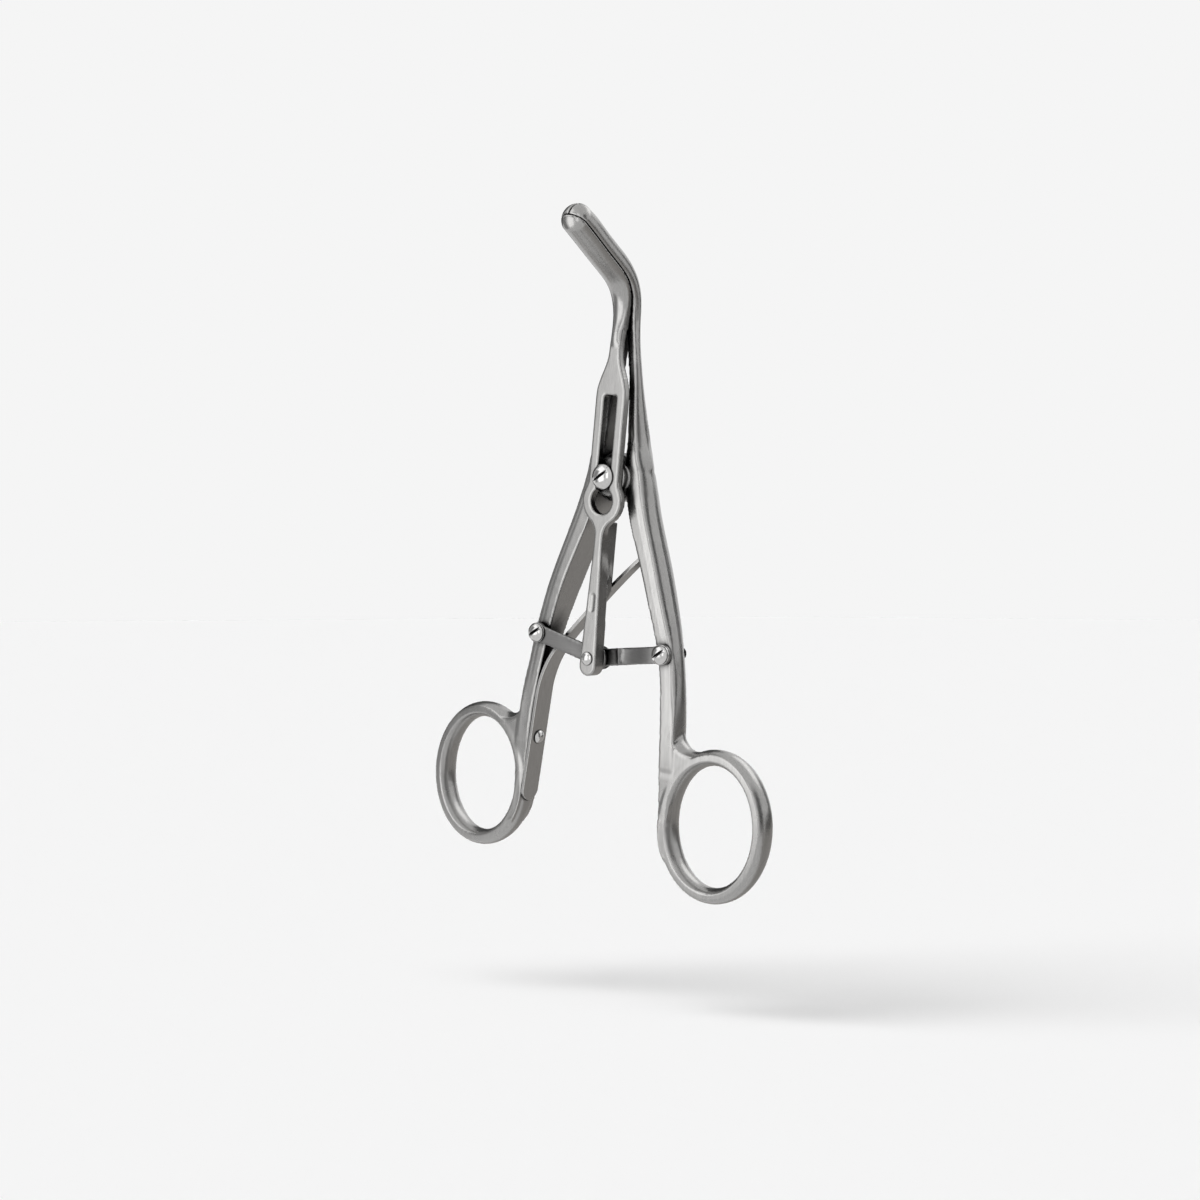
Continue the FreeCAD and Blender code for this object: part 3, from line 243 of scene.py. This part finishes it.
def glow_paint(name, brightness, warmth, fade):
    paint = empty_material(name)
    tree = paint.node_tree
    glow = add_node(
        tree, "ShaderNodeEmission", (0, 0), "",
        {"Color": (1.0, 1.0 - warmth / 2, 1.0 - warmth, 1.0), "Strength": brightness},
    )
    if fade is not None:
        where = add_node(tree, "ShaderNodeTexCoord", (-600, 0))
        split = add_node(tree, "ShaderNodeSeparateXYZ", (-400, 0))
        run = add_node(
            tree, "ShaderNodeMapRange", (-200, 0), "brightness across the card",
            {"From Min": fade[0], "From Max": fade[1], "To Min": brightness, "To Max": fade[2]},
        )
        tree.links.new(where.outputs["Object"], split.inputs["Vector"])
        tree.links.new(split.outputs["X"], run.inputs["Value"])
        tree.links.new(run.outputs["Result"], glow.inputs["Strength"])
    out = add_node(tree, "ShaderNodeOutputMaterial", (250, 0))
    tree.links.new(glow.outputs[0], out.inputs["Surface"])
    return paint


def card(name, place, size, brightness, warmth=0.0, fade=None):
    """Fade is (from x, to x, brightness there), across the width of the card."""
    board = stage_plane(name, size, glow_paint(name + "_paint", brightness, warmth, fade))
    board.location = place
    for kind in UNSEEN_BY:
        setattr(board, "visible_" + kind, False)
    print(name, [round(v, 2) for v in place], "brightness", brightness)
    return board


def standing_card(name, azimuth, elevation, distance, size, brightness, warmth=0.0, fade=None):
    """A card that faces the pivot. Its azimuth and elevation are in degrees."""
    place = PIVOT + direction(math.radians(azimuth), math.radians(elevation)) * distance
    board = card(name, place, size, brightness, warmth, fade)
    aim(board, place - PIVOT)


print("a card is unseen by:", ", ".join(UNSEEN_BY))

# %% [markdown]
# The faces that look to the right mirror the ground and the low background behind, which are
# grey. These two cards lie flat. The pale one stands for the whole ground and the grey one lies
# a little above it, at the back right.

# %% Ground cards
GROUND_HEIGHT = -0.1005
GROUND_GAP = 0.0025
GREY_PLACE = Vector((0.42, 0.50, GROUND_HEIGHT + GROUND_GAP))

card("pale_card_ground", Vector((0.0, 0.0, GROUND_HEIGHT)), (2 * FLOOR_REACH, 2 * FLOOR_REACH), PALE)
card("grey_card_ground", GREY_PLACE, (1.1, 0.94), 0.46, warmth=0.07)

# %% [markdown]
# The front faces of the arms mirror what is close by on the front left. A small card there runs
# from dark to bright, so the left arm comes out darker than the right one, as in the picture. The
# tall strips and the boxes stand further off, and each becomes one band or sweep in the rings and
# along the rounded backs.

# %% Standing cards
NEAR_CARD = 0.16
MIDDLE_CARD = 0.6
FAR_CARD = 0.9

standing_card(
    "fading_card_front", -38.0, -2.0, NEAR_CARD, (0.34, 0.2), 0.34, fade=(-0.028, 0.03, 2.1),
)
standing_card("dark_card_back", 142.0, -4.0, MIDDLE_CARD, (0.75, 0.13), 0.13, warmth=0.05)
standing_card("dark_strip_right", 88.0, 4.0, FAR_CARD, (0.42, 1.3), 0.1)
standing_card("dark_strip_back", 166.0, 6.0, FAR_CARD, (0.3, 0.5), 0.1)
standing_card("white_strip_front", 33.0, 4.0, FAR_CARD, (0.22, 1.3), 2.1)
standing_card("grey_strip_front", 4.0, 4.0, FAR_CARD, (0.34, 1.3), 0.5)
standing_card("white_box_back", 168.0, 42.0, FAR_CARD, (0.8, 0.4), 2.0)
standing_card("white_box_front", -42.0, 46.0, FAR_CARD, (0.7, 0.5), 1.8)
standing_card("dark_card_left", -118.0, 0.0, FAR_CARD, (0.9, 1.5), 0.07)

# %% [markdown]
# The forged pieces are satin: a fine ground surface with a faint grain along the piece, a little
# unevenness, and edges worn smooth, with a painted highlight along them. One recipe covers all the
# steels. It starts with two noises: one is stretched along an axis into grain, the other is a soft
# cloud that stands for handled, uneven metal. The grain tints the steel a little and the cloud
# varies its roughness.

# %% Grain and cloud
GRAIN_DARK = 0.93
GRAIN_PALE = 1.06
NOISE_LOW = 0.3
NOISE_HIGH = 0.7
CLOUD_SCALE = 130.0
UNEVEN = 0.15


def grain_and_cloud(tree, grain_scale):
    where = add_node(tree, "ShaderNodeTexCoord", (-1200, 0))
    stretch = add_node(
        tree, "ShaderNodeMapping", (-1000, 0), "stretch along the piece", {"Scale": grain_scale},
    )
    grain = add_node(
        tree, "ShaderNodeTexNoise", (-800, 100), "ground grain",
        {"Scale": 1.0, "Detail": 3.0, "Roughness": 0.6},
    )
    cloud = add_node(
        tree, "ShaderNodeTexNoise", (-800, -200), "handled unevenness",
        {"Scale": CLOUD_SCALE, "Detail": 2.0},
    )
    tree.links.new(where.outputs["Object"], stretch.inputs["Vector"])
    tree.links.new(stretch.outputs["Vector"], grain.inputs["Vector"])
    tree.links.new(where.outputs["Object"], cloud.inputs["Vector"])
    return grain.outputs["Fac"], cloud.outputs["Fac"]


def grain_tint(tree, grain, colour):
    tint = add_node(tree, "ShaderNodeValToRGB", (-500, 250), "grain tone")
    low, high = tint.color_ramp.elements
    low.position = NOISE_LOW
    low.color = (*[GRAIN_DARK * c for c in colour], 1.0)
    high.position = NOISE_HIGH
    high.color = (*[min(1.0, GRAIN_PALE * c) for c in colour], 1.0)
    tree.links.new(grain, tint.inputs["Fac"])
    return tint.outputs["Color"]


def cloudy_roughness(tree, cloud, roughness):
    wear = add_node(
        tree, "ShaderNodeMapRange", (-500, -150), "roughness",
        {
            "From Min": NOISE_LOW,
            "From Max": NOISE_HIGH,
            "To Min": roughness * (1.0 - UNEVEN),
            "To Max": roughness * (1.0 + UNEVEN),
        },
    )
    tree.links.new(cloud, wear.inputs["Value"])
    return wear.outputs["Result"]


print("roughness varies by", round(100 * UNEVEN), "percent either way")

# %% [markdown]
# The bevel node rounds each edge for the light only. Two bump nodes follow it: a wide swell from
# the cloud and the fine relief of the grain. The bevel also tells where an edge is. There its
# normal leaves the normal of the face, and a highlight is painted into the colour: the steel is
# made brighter along the edge.

# %% Edges, painted edge highlights and relief
SWELL = 0.00009
PAINTED_EDGE_GAIN = 2.0
PAINTED_EDGE_LIMIT = 0.9
FLAT_MATCH = 0.99
EDGE_MATCH = 0.93


def relief(tree, grain, cloud, grain_bump, edge):
    round_edge = add_node(
        tree, "ShaderNodeBevel", (-1000, -450), "edge worn smooth", {"Radius": edge},
    )
    round_edge.samples = 6
    swell = add_node(
        tree, "ShaderNodeBump", (-500, -450), "hammered swell", {"Strength": 1.0, "Distance": SWELL},
    )
    bump = add_node(
        tree, "ShaderNodeBump", (-250, -350), "grain relief", {"Strength": 0.5, "Distance": grain_bump},
    )
    tree.links.new(cloud, swell.inputs["Height"])
    tree.links.new(round_edge.outputs["Normal"], swell.inputs["Normal"])
    tree.links.new(grain, bump.inputs["Height"])
    tree.links.new(swell.outputs["Normal"], bump.inputs["Normal"])
    return round_edge.outputs["Normal"], bump.outputs["Normal"]


# Painted highlight: the base colour is made brighter along the edges, where the bevel normal leaves the
# face normal.
def painted_edge_highlights(tree, edge_normal, tone, colour):
    face = add_node(tree, "ShaderNodeNewGeometry", (-1000, 600))
    match = add_node(tree, "ShaderNodeVectorMath", (-800, 600), "how flat it is here")
    match.operation = "DOT_PRODUCT"
    painted_highlight = add_node(
        tree, "ShaderNodeMapRange", (-600, 600), "rubbed edge",
        {"From Min": FLAT_MATCH, "From Max": EDGE_MATCH},
    )
    shine = add_node(tree, "ShaderNodeMix", (-250, 400), "brighter on the edge")
    shine.data_type = "RGBA"
    shine.inputs["B"].default_value = (*[min(PAINTED_EDGE_LIMIT, c * PAINTED_EDGE_GAIN) for c in colour], 1.0)
    tree.links.new(edge_normal, match.inputs[0])
    tree.links.new(face.outputs["Normal"], match.inputs[1])
    tree.links.new(match.outputs["Value"], painted_highlight.inputs["Value"])
    tree.links.new(painted_highlight.outputs["Result"], shine.inputs["Factor"])
    tree.links.new(tone, shine.inputs["A"])
    return shine.outputs["Result"]


print("edges are up to", PAINTED_EDGE_GAIN, "times as bright as the faces")

# %% [markdown]
# Slots and seams get painted shade. The ambient occlusion node measures how closed in a point is,
# and the colour is scaled down where it is closed, so the shade that falls there is painted into
# the colour. With that the recipe is whole, and each steel is one call with its colour,
# roughness, grain and edge.

# %% Painted shade in hollows, and the steels
HOLLOW_REACH = 0.006
HOLLOW_CLOSED = 0.5
HOLLOW_OPEN = 0.86
PAINTED_SHADE_DARKEST = 0.03
SATIN = (0.37, 0.366, 0.36)


# Painted shade: the base colour is scaled down in slots, seams and other closed-in places, where shade
# falls.
def with_painted_shade(tree, tone):
    hollow = add_node(
        tree, "ShaderNodeAmbientOcclusion", (-600, 900), "how open it is here",
        {"Distance": HOLLOW_REACH},
    )
    hollow.samples = 8
    depth = add_node(
        tree, "ShaderNodeMapRange", (-400, 900), "stain in slots and seams",
        {"From Min": HOLLOW_CLOSED, "From Max": HOLLOW_OPEN, "To Min": PAINTED_SHADE_DARKEST, "To Max": 1.0},
    )
    painted_shade = add_node(tree, "ShaderNodeVectorMath", (-50, 500), "darker where closed in")
    painted_shade.operation = "SCALE"
    tree.links.new(hollow.outputs["AO"], depth.inputs["Value"])
    tree.links.new(tone, painted_shade.inputs[0])
    tree.links.new(depth.outputs["Result"], painted_shade.inputs["Scale"])
    return painted_shade.outputs["Vector"]


def steel(name, colour, roughness, grain_scale, grain_bump, edge):
    material = bpy.data.materials.new(name)
    material.use_nodes = True
    tree = material.node_tree
    shader = tree.nodes["Principled BSDF"]
    shader.inputs["Metallic"].default_value = 1.0
    grain, cloud = grain_and_cloud(tree, grain_scale)
    edge_normal, normal = relief(tree, grain, cloud, grain_bump, edge)
    # The tone gets painted highlights along the edges.
    tone = painted_edge_highlights(tree, edge_normal, grain_tint(tree, grain, colour), colour)
    # The base colour gets painted shade where the point is closed in.
    tree.links.new(with_painted_shade(tree, tone), shader.inputs["Base Color"])
    tree.links.new(cloudy_roughness(tree, cloud, roughness), shader.inputs["Roughness"])
    tree.links.new(normal, shader.inputs["Normal"])
    print(name, "roughness", roughness, "edge, mm:", 1000 * edge)
    return material


satin_forging = steel(
    "satin_forging", SATIN, 0.27, (2500.0, 2500.0, 240.0), grain_bump=0.000012, edge=0.0003,
)
satin_blade = steel(
    "satin_blade", SATIN, 0.25, (3000.0, 3000.0, 300.0), grain_bump=0.00001, edge=0.0002,
)
ground_link = steel(
    "ground_link", (0.21, 0.208, 0.206), 0.3, (300.0, 2600.0, 2600.0), grain_bump=0.00001, edge=0.00012,
)
sprung_strip = steel(
    "sprung_strip", (0.40, 0.396, 0.39), 0.24, (2400.0, 2400.0, 300.0), grain_bump=0.000006, edge=0.0001,
)
polished_head = steel(
    "polished_head", (0.56, 0.555, 0.55), 0.16, (1500.0, 1500.0, 1500.0), grain_bump=0.000003,
    edge=0.00008,
)

# %% [markdown]
# The CAD nodes keep their shapes and only change their finish. The two arms are satin forgings,
# the centre blade is ground a little finer, the link bars are duller, and screws, pin, rivet,
# nut and washers are turned and polished.

# %% Dress the CAD nodes
FINISH = {
    "left_arm": satin_forging,
    "right_arm": satin_forging,
    "centre_blade": satin_blade,
    "left_link": ground_link,
    "right_link": ground_link,
}


def finish(piece, material):
    piece.data.materials.clear()
    piece.data.materials.append(material)
    print(piece.name, "->", material.name)


for name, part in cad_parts.items():
    finish(part, FINISH.get(name, polished_head))

# %% [markdown]
# A forging has no hard joins, and bent strip has no sharp creases. The CAD solids have the right
# places and sizes but harder corners. So their meshes are copied and remeshed to small even
# squares, which can be pushed and smoothed like clay, and the copies will stand for the solids.

# %% Even meshes
VOXEL = 0.00025
CLAY_NODES = ("left_arm", "right_arm", "left_link", "right_link", "centre_blade")


def even_copy(node):
    piece = bpy.data.objects.new(node + "_forging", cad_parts[node].data.copy())
    bpy.context.scene.collection.objects.link(piece)
    remesh = piece.modifiers.new("even squares", "REMESH")
    remesh.mode = "VOXEL"
    remesh.voxel_size = VOXEL
    evaluated = piece.evaluated_get(bpy.context.evaluated_depsgraph_get())
    mesh = bpy.data.meshes.new_from_object(evaluated)
    piece.modifiers.clear()
    piece.data = mesh
    print(piece.name, len(mesh.polygons), "faces")
    return piece


clay = {node: even_copy(node) for node in CLAY_NODES}

# %% [markdown]
# The points are worked on as one table of millimetres, measured from the pivot. Side is 1 for a
# piece as it lies and -1 for one that is mirrored first, so that one set of numbers does for both
# arms.

# %% Points in millimetres
def read_points(mesh, side=1.0):
    flat = np.empty(len(mesh.vertices) * 3)
    mesh.vertices.foreach_get("co", flat)
    points = (flat.reshape(-1, 3) - np.array(PIVOT)) * 1000.0
    points[:, 0] *= side
    return points


def read_edges(mesh):
    flat = np.empty(len(mesh.edges) * 2, dtype=np.int32)
    mesh.edges.foreach_get("vertices", flat)
    return flat.reshape(-1, 2)


def write_points(mesh, points, side=1.0):
    points = points.copy()
    points[:, 0] *= side
    mesh.vertices.foreach_set("co", (points / 1000.0 + np.array(PIVOT)).ravel())
    mesh.polygons.foreach_set("use_smooth", np.ones(len(mesh.polygons), dtype=bool))
    mesh.update()


for node, piece in clay.items():
    points = read_points(piece.data)
    print(node, "from", points.min(axis=0).round(1), "to", points.max(axis=0).round(1), "mm")

# %% [markdown]
# Smoothing moves each point towards the middle of its neighbours and then a little back, so that
# edges soften and the piece doesn't shrink. The weight says where it works, as a number from 0 to
# 1 for each point. Soft steps make such weights without a visible border.

# %% Smoothing
PUSH = 0.5
PUSH_BACK = -0.52


def soft_step(low, high, value):
    t = np.clip((value - low) / (high - low), 0.0, 1.0)
    return t * t * (3.0 - 2.0 * t)


def between(low, high, ramp, value):
    """1 between low and high, falling softly to 0 over the ramp at each end."""
    return soft_step(low, low + ramp, value) * (1.0 - soft_step(high - ramp, high, value))


def smooth_points(points, edges, weight, rounds, push_back=PUSH_BACK):
    start = edges[:, 0]
    end = edges[:, 1]
    count = np.bincount(edges.ravel(), minlength=len(points)).clip(1)
    for i in range(rounds):
        for push in (PUSH, push_back):
            middle = np.empty_like(points)
            for k in range(3):
                middle[:, k] = np.bincount(start, points[end, k], len(points))
                middle[:, k] += np.bincount(end, points[start, k], len(points))
            middle /= count[:, None]
            points += push * weight[:, None] * (middle - points)
    return points


print("each round pushes by", PUSH, "and then by", PUSH_BACK)

# %% [markdown]
# The plate of the centre blade runs into the narrow blade in an easy curve, where the CAD outline
# has two corners. A corner in an outline is rounded by averaging the outline. The outermost reach
# of the piece is read at every height, averaged over a few millimetres, and the points near the
# edge are moved by the difference. Straight stretches stay as they are.

# %% Ease the shoulders of the centre blade
HEIGHT_STEP = 0.25
HEIGHT_SLICE = 0.3
SHOULDER_LOW = 10.0
SHOULDER_HIGH = 36.0
SHOULDER_SPAN = 3.5
SHOULDER_DEPTH = 1.6
LAST_ROUNDS = 2


def even_outline(points, way, low, high, span, depth):
    """Averages the outline along the way over the span, down to the depth below the edge."""
    way = np.array(way) / np.linalg.norm(way)
    z = points[:, 2]
    out = points @ way
    heights = np.arange(low - span, high + span, HEIGHT_STEP)
    reach = np.array([out[np.abs(z - h) < HEIGHT_SLICE].max() for h in heights])
    steps = int(span / HEIGHT_STEP)
    kernel = np.hanning(2 * steps + 3)[1:-1]
    even = np.convolve(np.pad(reach, steps, "edge"), kernel / kernel.sum(), "valid")
    change = np.interp(z, heights, even - reach, 0.0, 0.0)
    near = np.clip(1.0 - (np.interp(z, heights, reach) - out) / depth, 0.0, 1.0)
    print("outline moved by up to", round(float(np.abs(even - reach).max()), 2), "mm")
    return points + (change * near * between(low, high, span, z))[:, None] * way


mesh = clay["centre_blade"].data
points = read_points(mesh)
for way in ((1.0, 0.0, 0.0), (-1.0, 0.0, 0.0)):
    points = even_outline(points, way, SHOULDER_LOW, SHOULDER_HIGH, SHOULDER_SPAN, SHOULDER_DEPTH)
points = smooth_points(points, read_edges(mesh), np.ones(len(points)), LAST_ROUNDS)
write_points(mesh, points)

# %% [markdown]
# The link bars are stamped from strip. The right one is cranked near the stem, so that it passes
# behind the left one. Smoothing softens the creases. Then the bar is drawn out to a longer bend,
# from CRANK_START outwards. A short step stays where that begins, and it shows from above.

# %% Soften the crank of the link bars
CREASE_FROM = 7.0
CREASE_TO = 9.5
PIN_REACH = 5.0
CRANK_START = 5.5
CRANK_FROM = 6.5
CRANK_TO = 15.0
BAR_FROM = 2.0
BAR_TO = 16.0
OUTER_FROM = 13.0
CREASE_ROUNDS = 70


def long_crank(points):
    out = np.abs(points[:, 0])
    places = np.arange(BAR_FROM, BAR_TO, HEIGHT_STEP)
    level = np.array([points[np.abs(out - p) < HEIGHT_SLICE, 1].mean() for p in places])
    inner = level[places < PIN_REACH].mean()
    outer = level[places > OUTER_FROM].mean()
    wanted = inner + (outer - inner) * soft_step(CRANK_FROM, CRANK_TO, places)
    shift = np.where(places > CRANK_START, wanted - level, 0.0)
    points[:, 1] += np.interp(out, places, shift, 0.0, 0.0)
    print("crank of", round(abs(float(inner - outer)), 2), "mm drawn out")
    return points


for node in ("left_link", "right_link"):
    mesh = clay[node].data
    points = read_points(mesh)
    edges = read_edges(mesh)
    creased = 1.0 - soft_step(CREASE_FROM, CREASE_TO, np.abs(points[:, 0]))
    points = smooth_points(points, edges, creased, CREASE_ROUNDS)
    points = smooth_points(points, edges, np.ones(len(points)), LAST_ROUNDS)
    write_points(mesh, long_crank(points))

# %% [markdown]
# The outer side of an arm is a long rounded back with a fine groove beside the flat front. To
# shape it, points are counted inwards from the outermost edge at their height. That edge is read
# first, and averaged a little so that it has no steps.

# %% Outer edge of an arm
BAR_LOW = -56.0
BAR_HIGH = 40.0
BAR_STEP = 0.5
BAR_AVERAGE = 7


def outer_edge(points):
    heights = np.arange(BAR_LOW, BAR_HIGH, BAR_STEP)
    reach = np.array([points[np.abs(points[:, 2] - h) < BAR_STEP, 0].max() for h in heights])
    kernel = np.ones(BAR_AVERAGE) / BAR_AVERAGE
    reach = np.convolve(np.pad(reach, BAR_AVERAGE // 2, "edge"), kernel, "valid")
    return np.interp(points[:, 2], heights, reach)


outermost = outer_edge(read_points(clay["right_arm"].data))
print("right arm, outer edge at", outermost.min().round(1), "to", outermost.max().round(1), "mm")

# %% [markdown]
# The nearer a point of the front is to the edge, the further it goes back. Front and rear part in
# the middle of the handle, and 2 mm further forward in the blade. Round the link screw the front
# stays flatter, so that the screw keeps its seat. Just above the pivot the arm is slimmer from
# behind, and the rings are kept within one depth. The photograph shows a flatter left arm, so
# there the rounding is weaker.

# %% Rounded backs of the arms
ARMS = (("left_arm", -1.0, 0.35), ("right_arm", 1.0, 1.0))
BACK_FOOT = -52.0
BACK_TOP = 30.0
BACK_RAMP = 12.0
LINK_HEIGHT = -35.7
SEAT_REACH = 3.0
SEAT_FLATTER = 0.6
BLADE_FORWARD = -2.0
BLADE_LEAVES = (4.0, 22.0)
BAND_WIDE = 2.0
BAND_NARROW = 1.0
BAND_NARROWS = (2.0, 24.0)
FALL_EVEN = 0.2
FALL_STEEP = 0.6
FACE_DEPTH = 1.0
GROOVE_DEPTH = 0.22
GROOVE_WIDTH = 0.28
WAIST_HEIGHT = 8.5
WAIST_REACH = 5.0
WAIST_DEPTH = 3.0
WAIST_THINNER = 0.5
WAIST_INWARDS = 0.3
RING_TOP = -60.0
RING_DEPTH = 2.72


def close_to(value, place, width):
    return np.exp(-((value - place) / width) ** 2)


def round_back(points, strength):
    x, y, z = points.T
    inwards = outer_edge(points) - x
    band = BAND_WIDE - (BAND_WIDE - BAND_NARROW) * soft_step(*BAND_NARROWS, z)
    near_edge = np.clip(1.0 - inwards / band, 0.0, 1.0)
    share = strength * between(BACK_FOOT, BACK_TOP, BACK_RAMP, z)
    share = share * (1.0 - SEAT_FLATTER * close_to(z, LINK_HEIGHT, SEAT_REACH))
    middle = BLADE_FORWARD * soft_step(*BLADE_LEAVES, z)
    front = y < middle
    on_face = front & (y < middle - FACE_DEPTH)
    fall = share * (FALL_EVEN * near_edge + FALL_STEEP * near_edge ** 3)
    groove = GROOVE_DEPTH * share * close_to(inwards, band, GROOVE_WIDTH)
    y = np.where(front, middle + (y - middle) * (1.0 - fall), y)
    y = np.where(on_face, y + groove, y)
    waist = close_to(z, WAIST_HEIGHT, WAIST_REACH) * np.clip(1.0 - inwards / WAIST_DEPTH, 0.0, 1.0)
    y = np.where(front, y, middle + (y - middle) * (1.0 - WAIST_THINNER * waist))
    y = np.where(z < RING_TOP, np.clip(y, -RING_DEPTH, RING_DEPTH), y)
    x = x - WAIST_INWARDS * waist
    return np.stack([x, y, z], axis=1)


arm_points = {}
for node, side, strength in ARMS:
    before = read_points(clay[node].data, side)
    arm_points[node] = round_back(before, strength)
    moved = np.abs(arm_points[node] - before).max()
    print(node, "reshaped by up to", round(float(moved), 2), "mm")

# %% [markdown]
# Last the arms are smoothed. First the outline that the camera sees on the right is averaged
# across the seam between blade and handle. Then the web between handle and ring is let flow, the
# hub round the pivot screw is eased over many rounds, and on the rear the seam is rubbed away.

# %% Forge both arms
REAR_WAY = (0.79, 0.61, 0.0)
REAR_LOW = -16.0
REAR_HIGH = 30.0
REAR_SPAN = 7.0
REAR_DEPTH = 2.5
WEB_OUT = (24.0, 28.0)
WEB_HEIGHT = (-50.0, -44.0)
WEB_ROUNDS = 40
HUB_OUT = (3.0, 5.0)
HUB_HEIGHT = (-7.0, 11.0)
HUB_RAMP = 4.0
HUB_ROUNDS = 160
SEAM_OUT = (4.0, 5.0)
SEAM_REAR = (-1.0, 1.0)
SEAM_HEIGHT = (-4.0, 5.0)
SEAM_RAMP = 2.5
SEAM_ROUNDS = 24
ARM_ROUNDS = 4

for node, side, strength in ARMS:
    mesh = clay[node].data
    edges = read_edges(mesh)
    points = even_outline(arm_points[node], REAR_WAY, REAR_LOW, REAR_HIGH, REAR_SPAN, REAR_DEPTH)
    x, y, z = points.T
    web = (1.0 - soft_step(*WEB_OUT, x)) * (1.0 - soft_step(*WEB_HEIGHT, z))
    hub = between(*HUB_HEIGHT, HUB_RAMP, z) * soft_step(*HUB_OUT, x)
    points = smooth_points(points, edges, web, WEB_ROUNDS)
    points = smooth_points(points, edges, hub, HUB_ROUNDS)
    seam = between(*SEAM_HEIGHT, SEAM_RAMP, z) * soft_step(*SEAM_OUT, x) * soft_step(*SEAM_REAR, y)
    points = smooth_points(points, edges, seam, SEAM_ROUNDS, push_back=0.0)
    points = smooth_points(points, edges, np.ones(len(points)), ARM_ROUNDS)
    write_points(mesh, points, side)
    print(node, "size, mm:", [round(1000 * v, 1) for v in clay[node].dimensions])

# %% [markdown]
# Each copy now stands for its solid: it takes the finish, rides on the same node and replaces it
# in the picture.

# %% The copies stand for the solids
for node, piece in clay.items():
    finish(piece, FINISH[node])
    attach(piece, node)
    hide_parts(node)

# %% [markdown]
# The leaf spring is a flat strip riveted along the left handle. Past the rivet it turns off the
# handle and runs in one long bow to the right arm, where its narrow end presses. Its path is a
# list of stations, each a place and a heading, on a straight line and two arcs. The stations lie
# closer together at the rounded foot.

# %% Path of the leaf spring
def from_pivot(x, y, z):
    """A place given in millimetres from the pivot."""
    return PIVOT + Vector((x, y, z)) / 1000.0


LEAF_FOOT = from_pivot(-18.65, -0.2, -73.6)
LEAF_ROOT = from_pivot(-16.75, -0.2, -49.5)
LEAF_TIP = from_pivot(7.99, -0.2, -15.9)
LEAN_OFF = math.atan2(LEAF_ROOT.x - LEAF_FOOT.x, LEAF_ROOT.z - LEAF_FOOT.z)
ROOT_WIDTH = 0.005
TURNED = math.radians(39.0)
TURN_RADIUS = 0.022
BOW_RADIUS = 0.218
SHORT_STEPS = 8
BOW_STEPS = 28


def heading(angle):
    return Vector((math.sin(angle), 0.0, math.cos(angle)))


def side_of(angle):
    return Vector((math.cos(angle), 0.0, -math.sin(angle)))


def arc_stations(start, angle_from, angle_to, radius, count):
    """Places and headings along an arc that turns to the right."""
    centre = start + side_of(angle_from) * radius
    angles = [angle_from + (angle_to - angle_from) * i / count for i in range(1, count + 1)]
    return [(centre - side_of(a) * radius, a) for a in angles]


def leaf_stations():
    round_end = ROOT_WIDTH / 2
    straight = (LEAF_ROOT - LEAF_FOOT).length - round_end
    along = [round_end * (1.0 - math.cos(math.pi / 2 * i / SHORT_STEPS)) for i in range(SHORT_STEPS + 1)]
    along += [round_end + straight * i / SHORT_STEPS for i in range(1, SHORT_STEPS + 1)]
    stations = [(LEAF_FOOT + heading(LEAN_OFF) * a, LEAN_OFF) for a in along]
    stations += arc_stations(LEAF_ROOT, LEAN_OFF, TURNED, TURN_RADIUS, SHORT_STEPS)
    bend_end = stations[-1][0]
    chord = LEAF_TIP - bend_end
    half = math.asin(chord.length / 2 / BOW_RADIUS)
    chord_angle = math.atan2(chord.x, chord.z)
    stations += arc_stations(bend_end, chord_angle - half, chord_angle + half, BOW_RADIUS, BOW_STEPS)
    return stations


stations = leaf_stations()
print("leaf strip:", len(stations), "stations, from", stations[0][0], "to", stations[-1][0])

# %% [markdown]
# The strip is round at its foot, even along the handle, and tapers from the root to the tip. Each
# station becomes four corners, and each pair of stations one length of strip with four sides.

# %% Strip of the leaf spring
LEAF_THICK = 0.0007
TIP_WIDTH = 0.0024
LEAST_WIDTH = 0.0004


def leaf_width(place):
    if place.z > LEAF_ROOT.z:
        share = (place.z - LEAF_ROOT.z) / (LEAF_TIP.z - LEAF_ROOT.z)
        return ROOT_WIDTH + (TIP_WIDTH - ROOT_WIDTH) * min(1.0, share)
    round_end = ROOT_WIDTH / 2
    back = (place - LEAF_FOOT).length
    if back < round_end:
        return max(LEAST_WIDTH, 2 * math.sqrt(max(0.0, round_end ** 2 - (round_end - back) ** 2)))
    return ROOT_WIDTH


verts = []
for place, angle in stations:
    across = side_of(angle) * (LEAF_THICK / 2)
    half = Vector((0.0, leaf_width(place) / 2, 0.0))
    verts += [
        place - across - half, place + across - half, place + across + half, place - across + half,
    ]
last = len(verts) - 4
faces = []
for a in range(0, last, 4):
    for j in range(4):
        k = (j + 1) % 4
        faces.append((a + j, a + 4 + j, a + 4 + k, a + k))
faces.append((0, 1, 2, 3))
faces.append((last + 3, last + 2, last + 1, last))
leaf_mesh = bpy.data.meshes.new("leaf_strip")
leaf_mesh.from_pydata(verts, [], faces)
leaf = bpy.data.objects.new("leaf_strip", leaf_mesh)
bpy.context.scene.collection.objects.link(leaf)
finish(leaf, sprung_strip)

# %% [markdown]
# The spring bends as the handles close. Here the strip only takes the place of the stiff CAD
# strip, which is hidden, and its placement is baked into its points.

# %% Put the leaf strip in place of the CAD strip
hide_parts("leaf_spring")
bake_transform(leaf)
print("it bends over", round(1000 * (LEAF_TIP - LEAF_ROOT).length, 1), "mm")
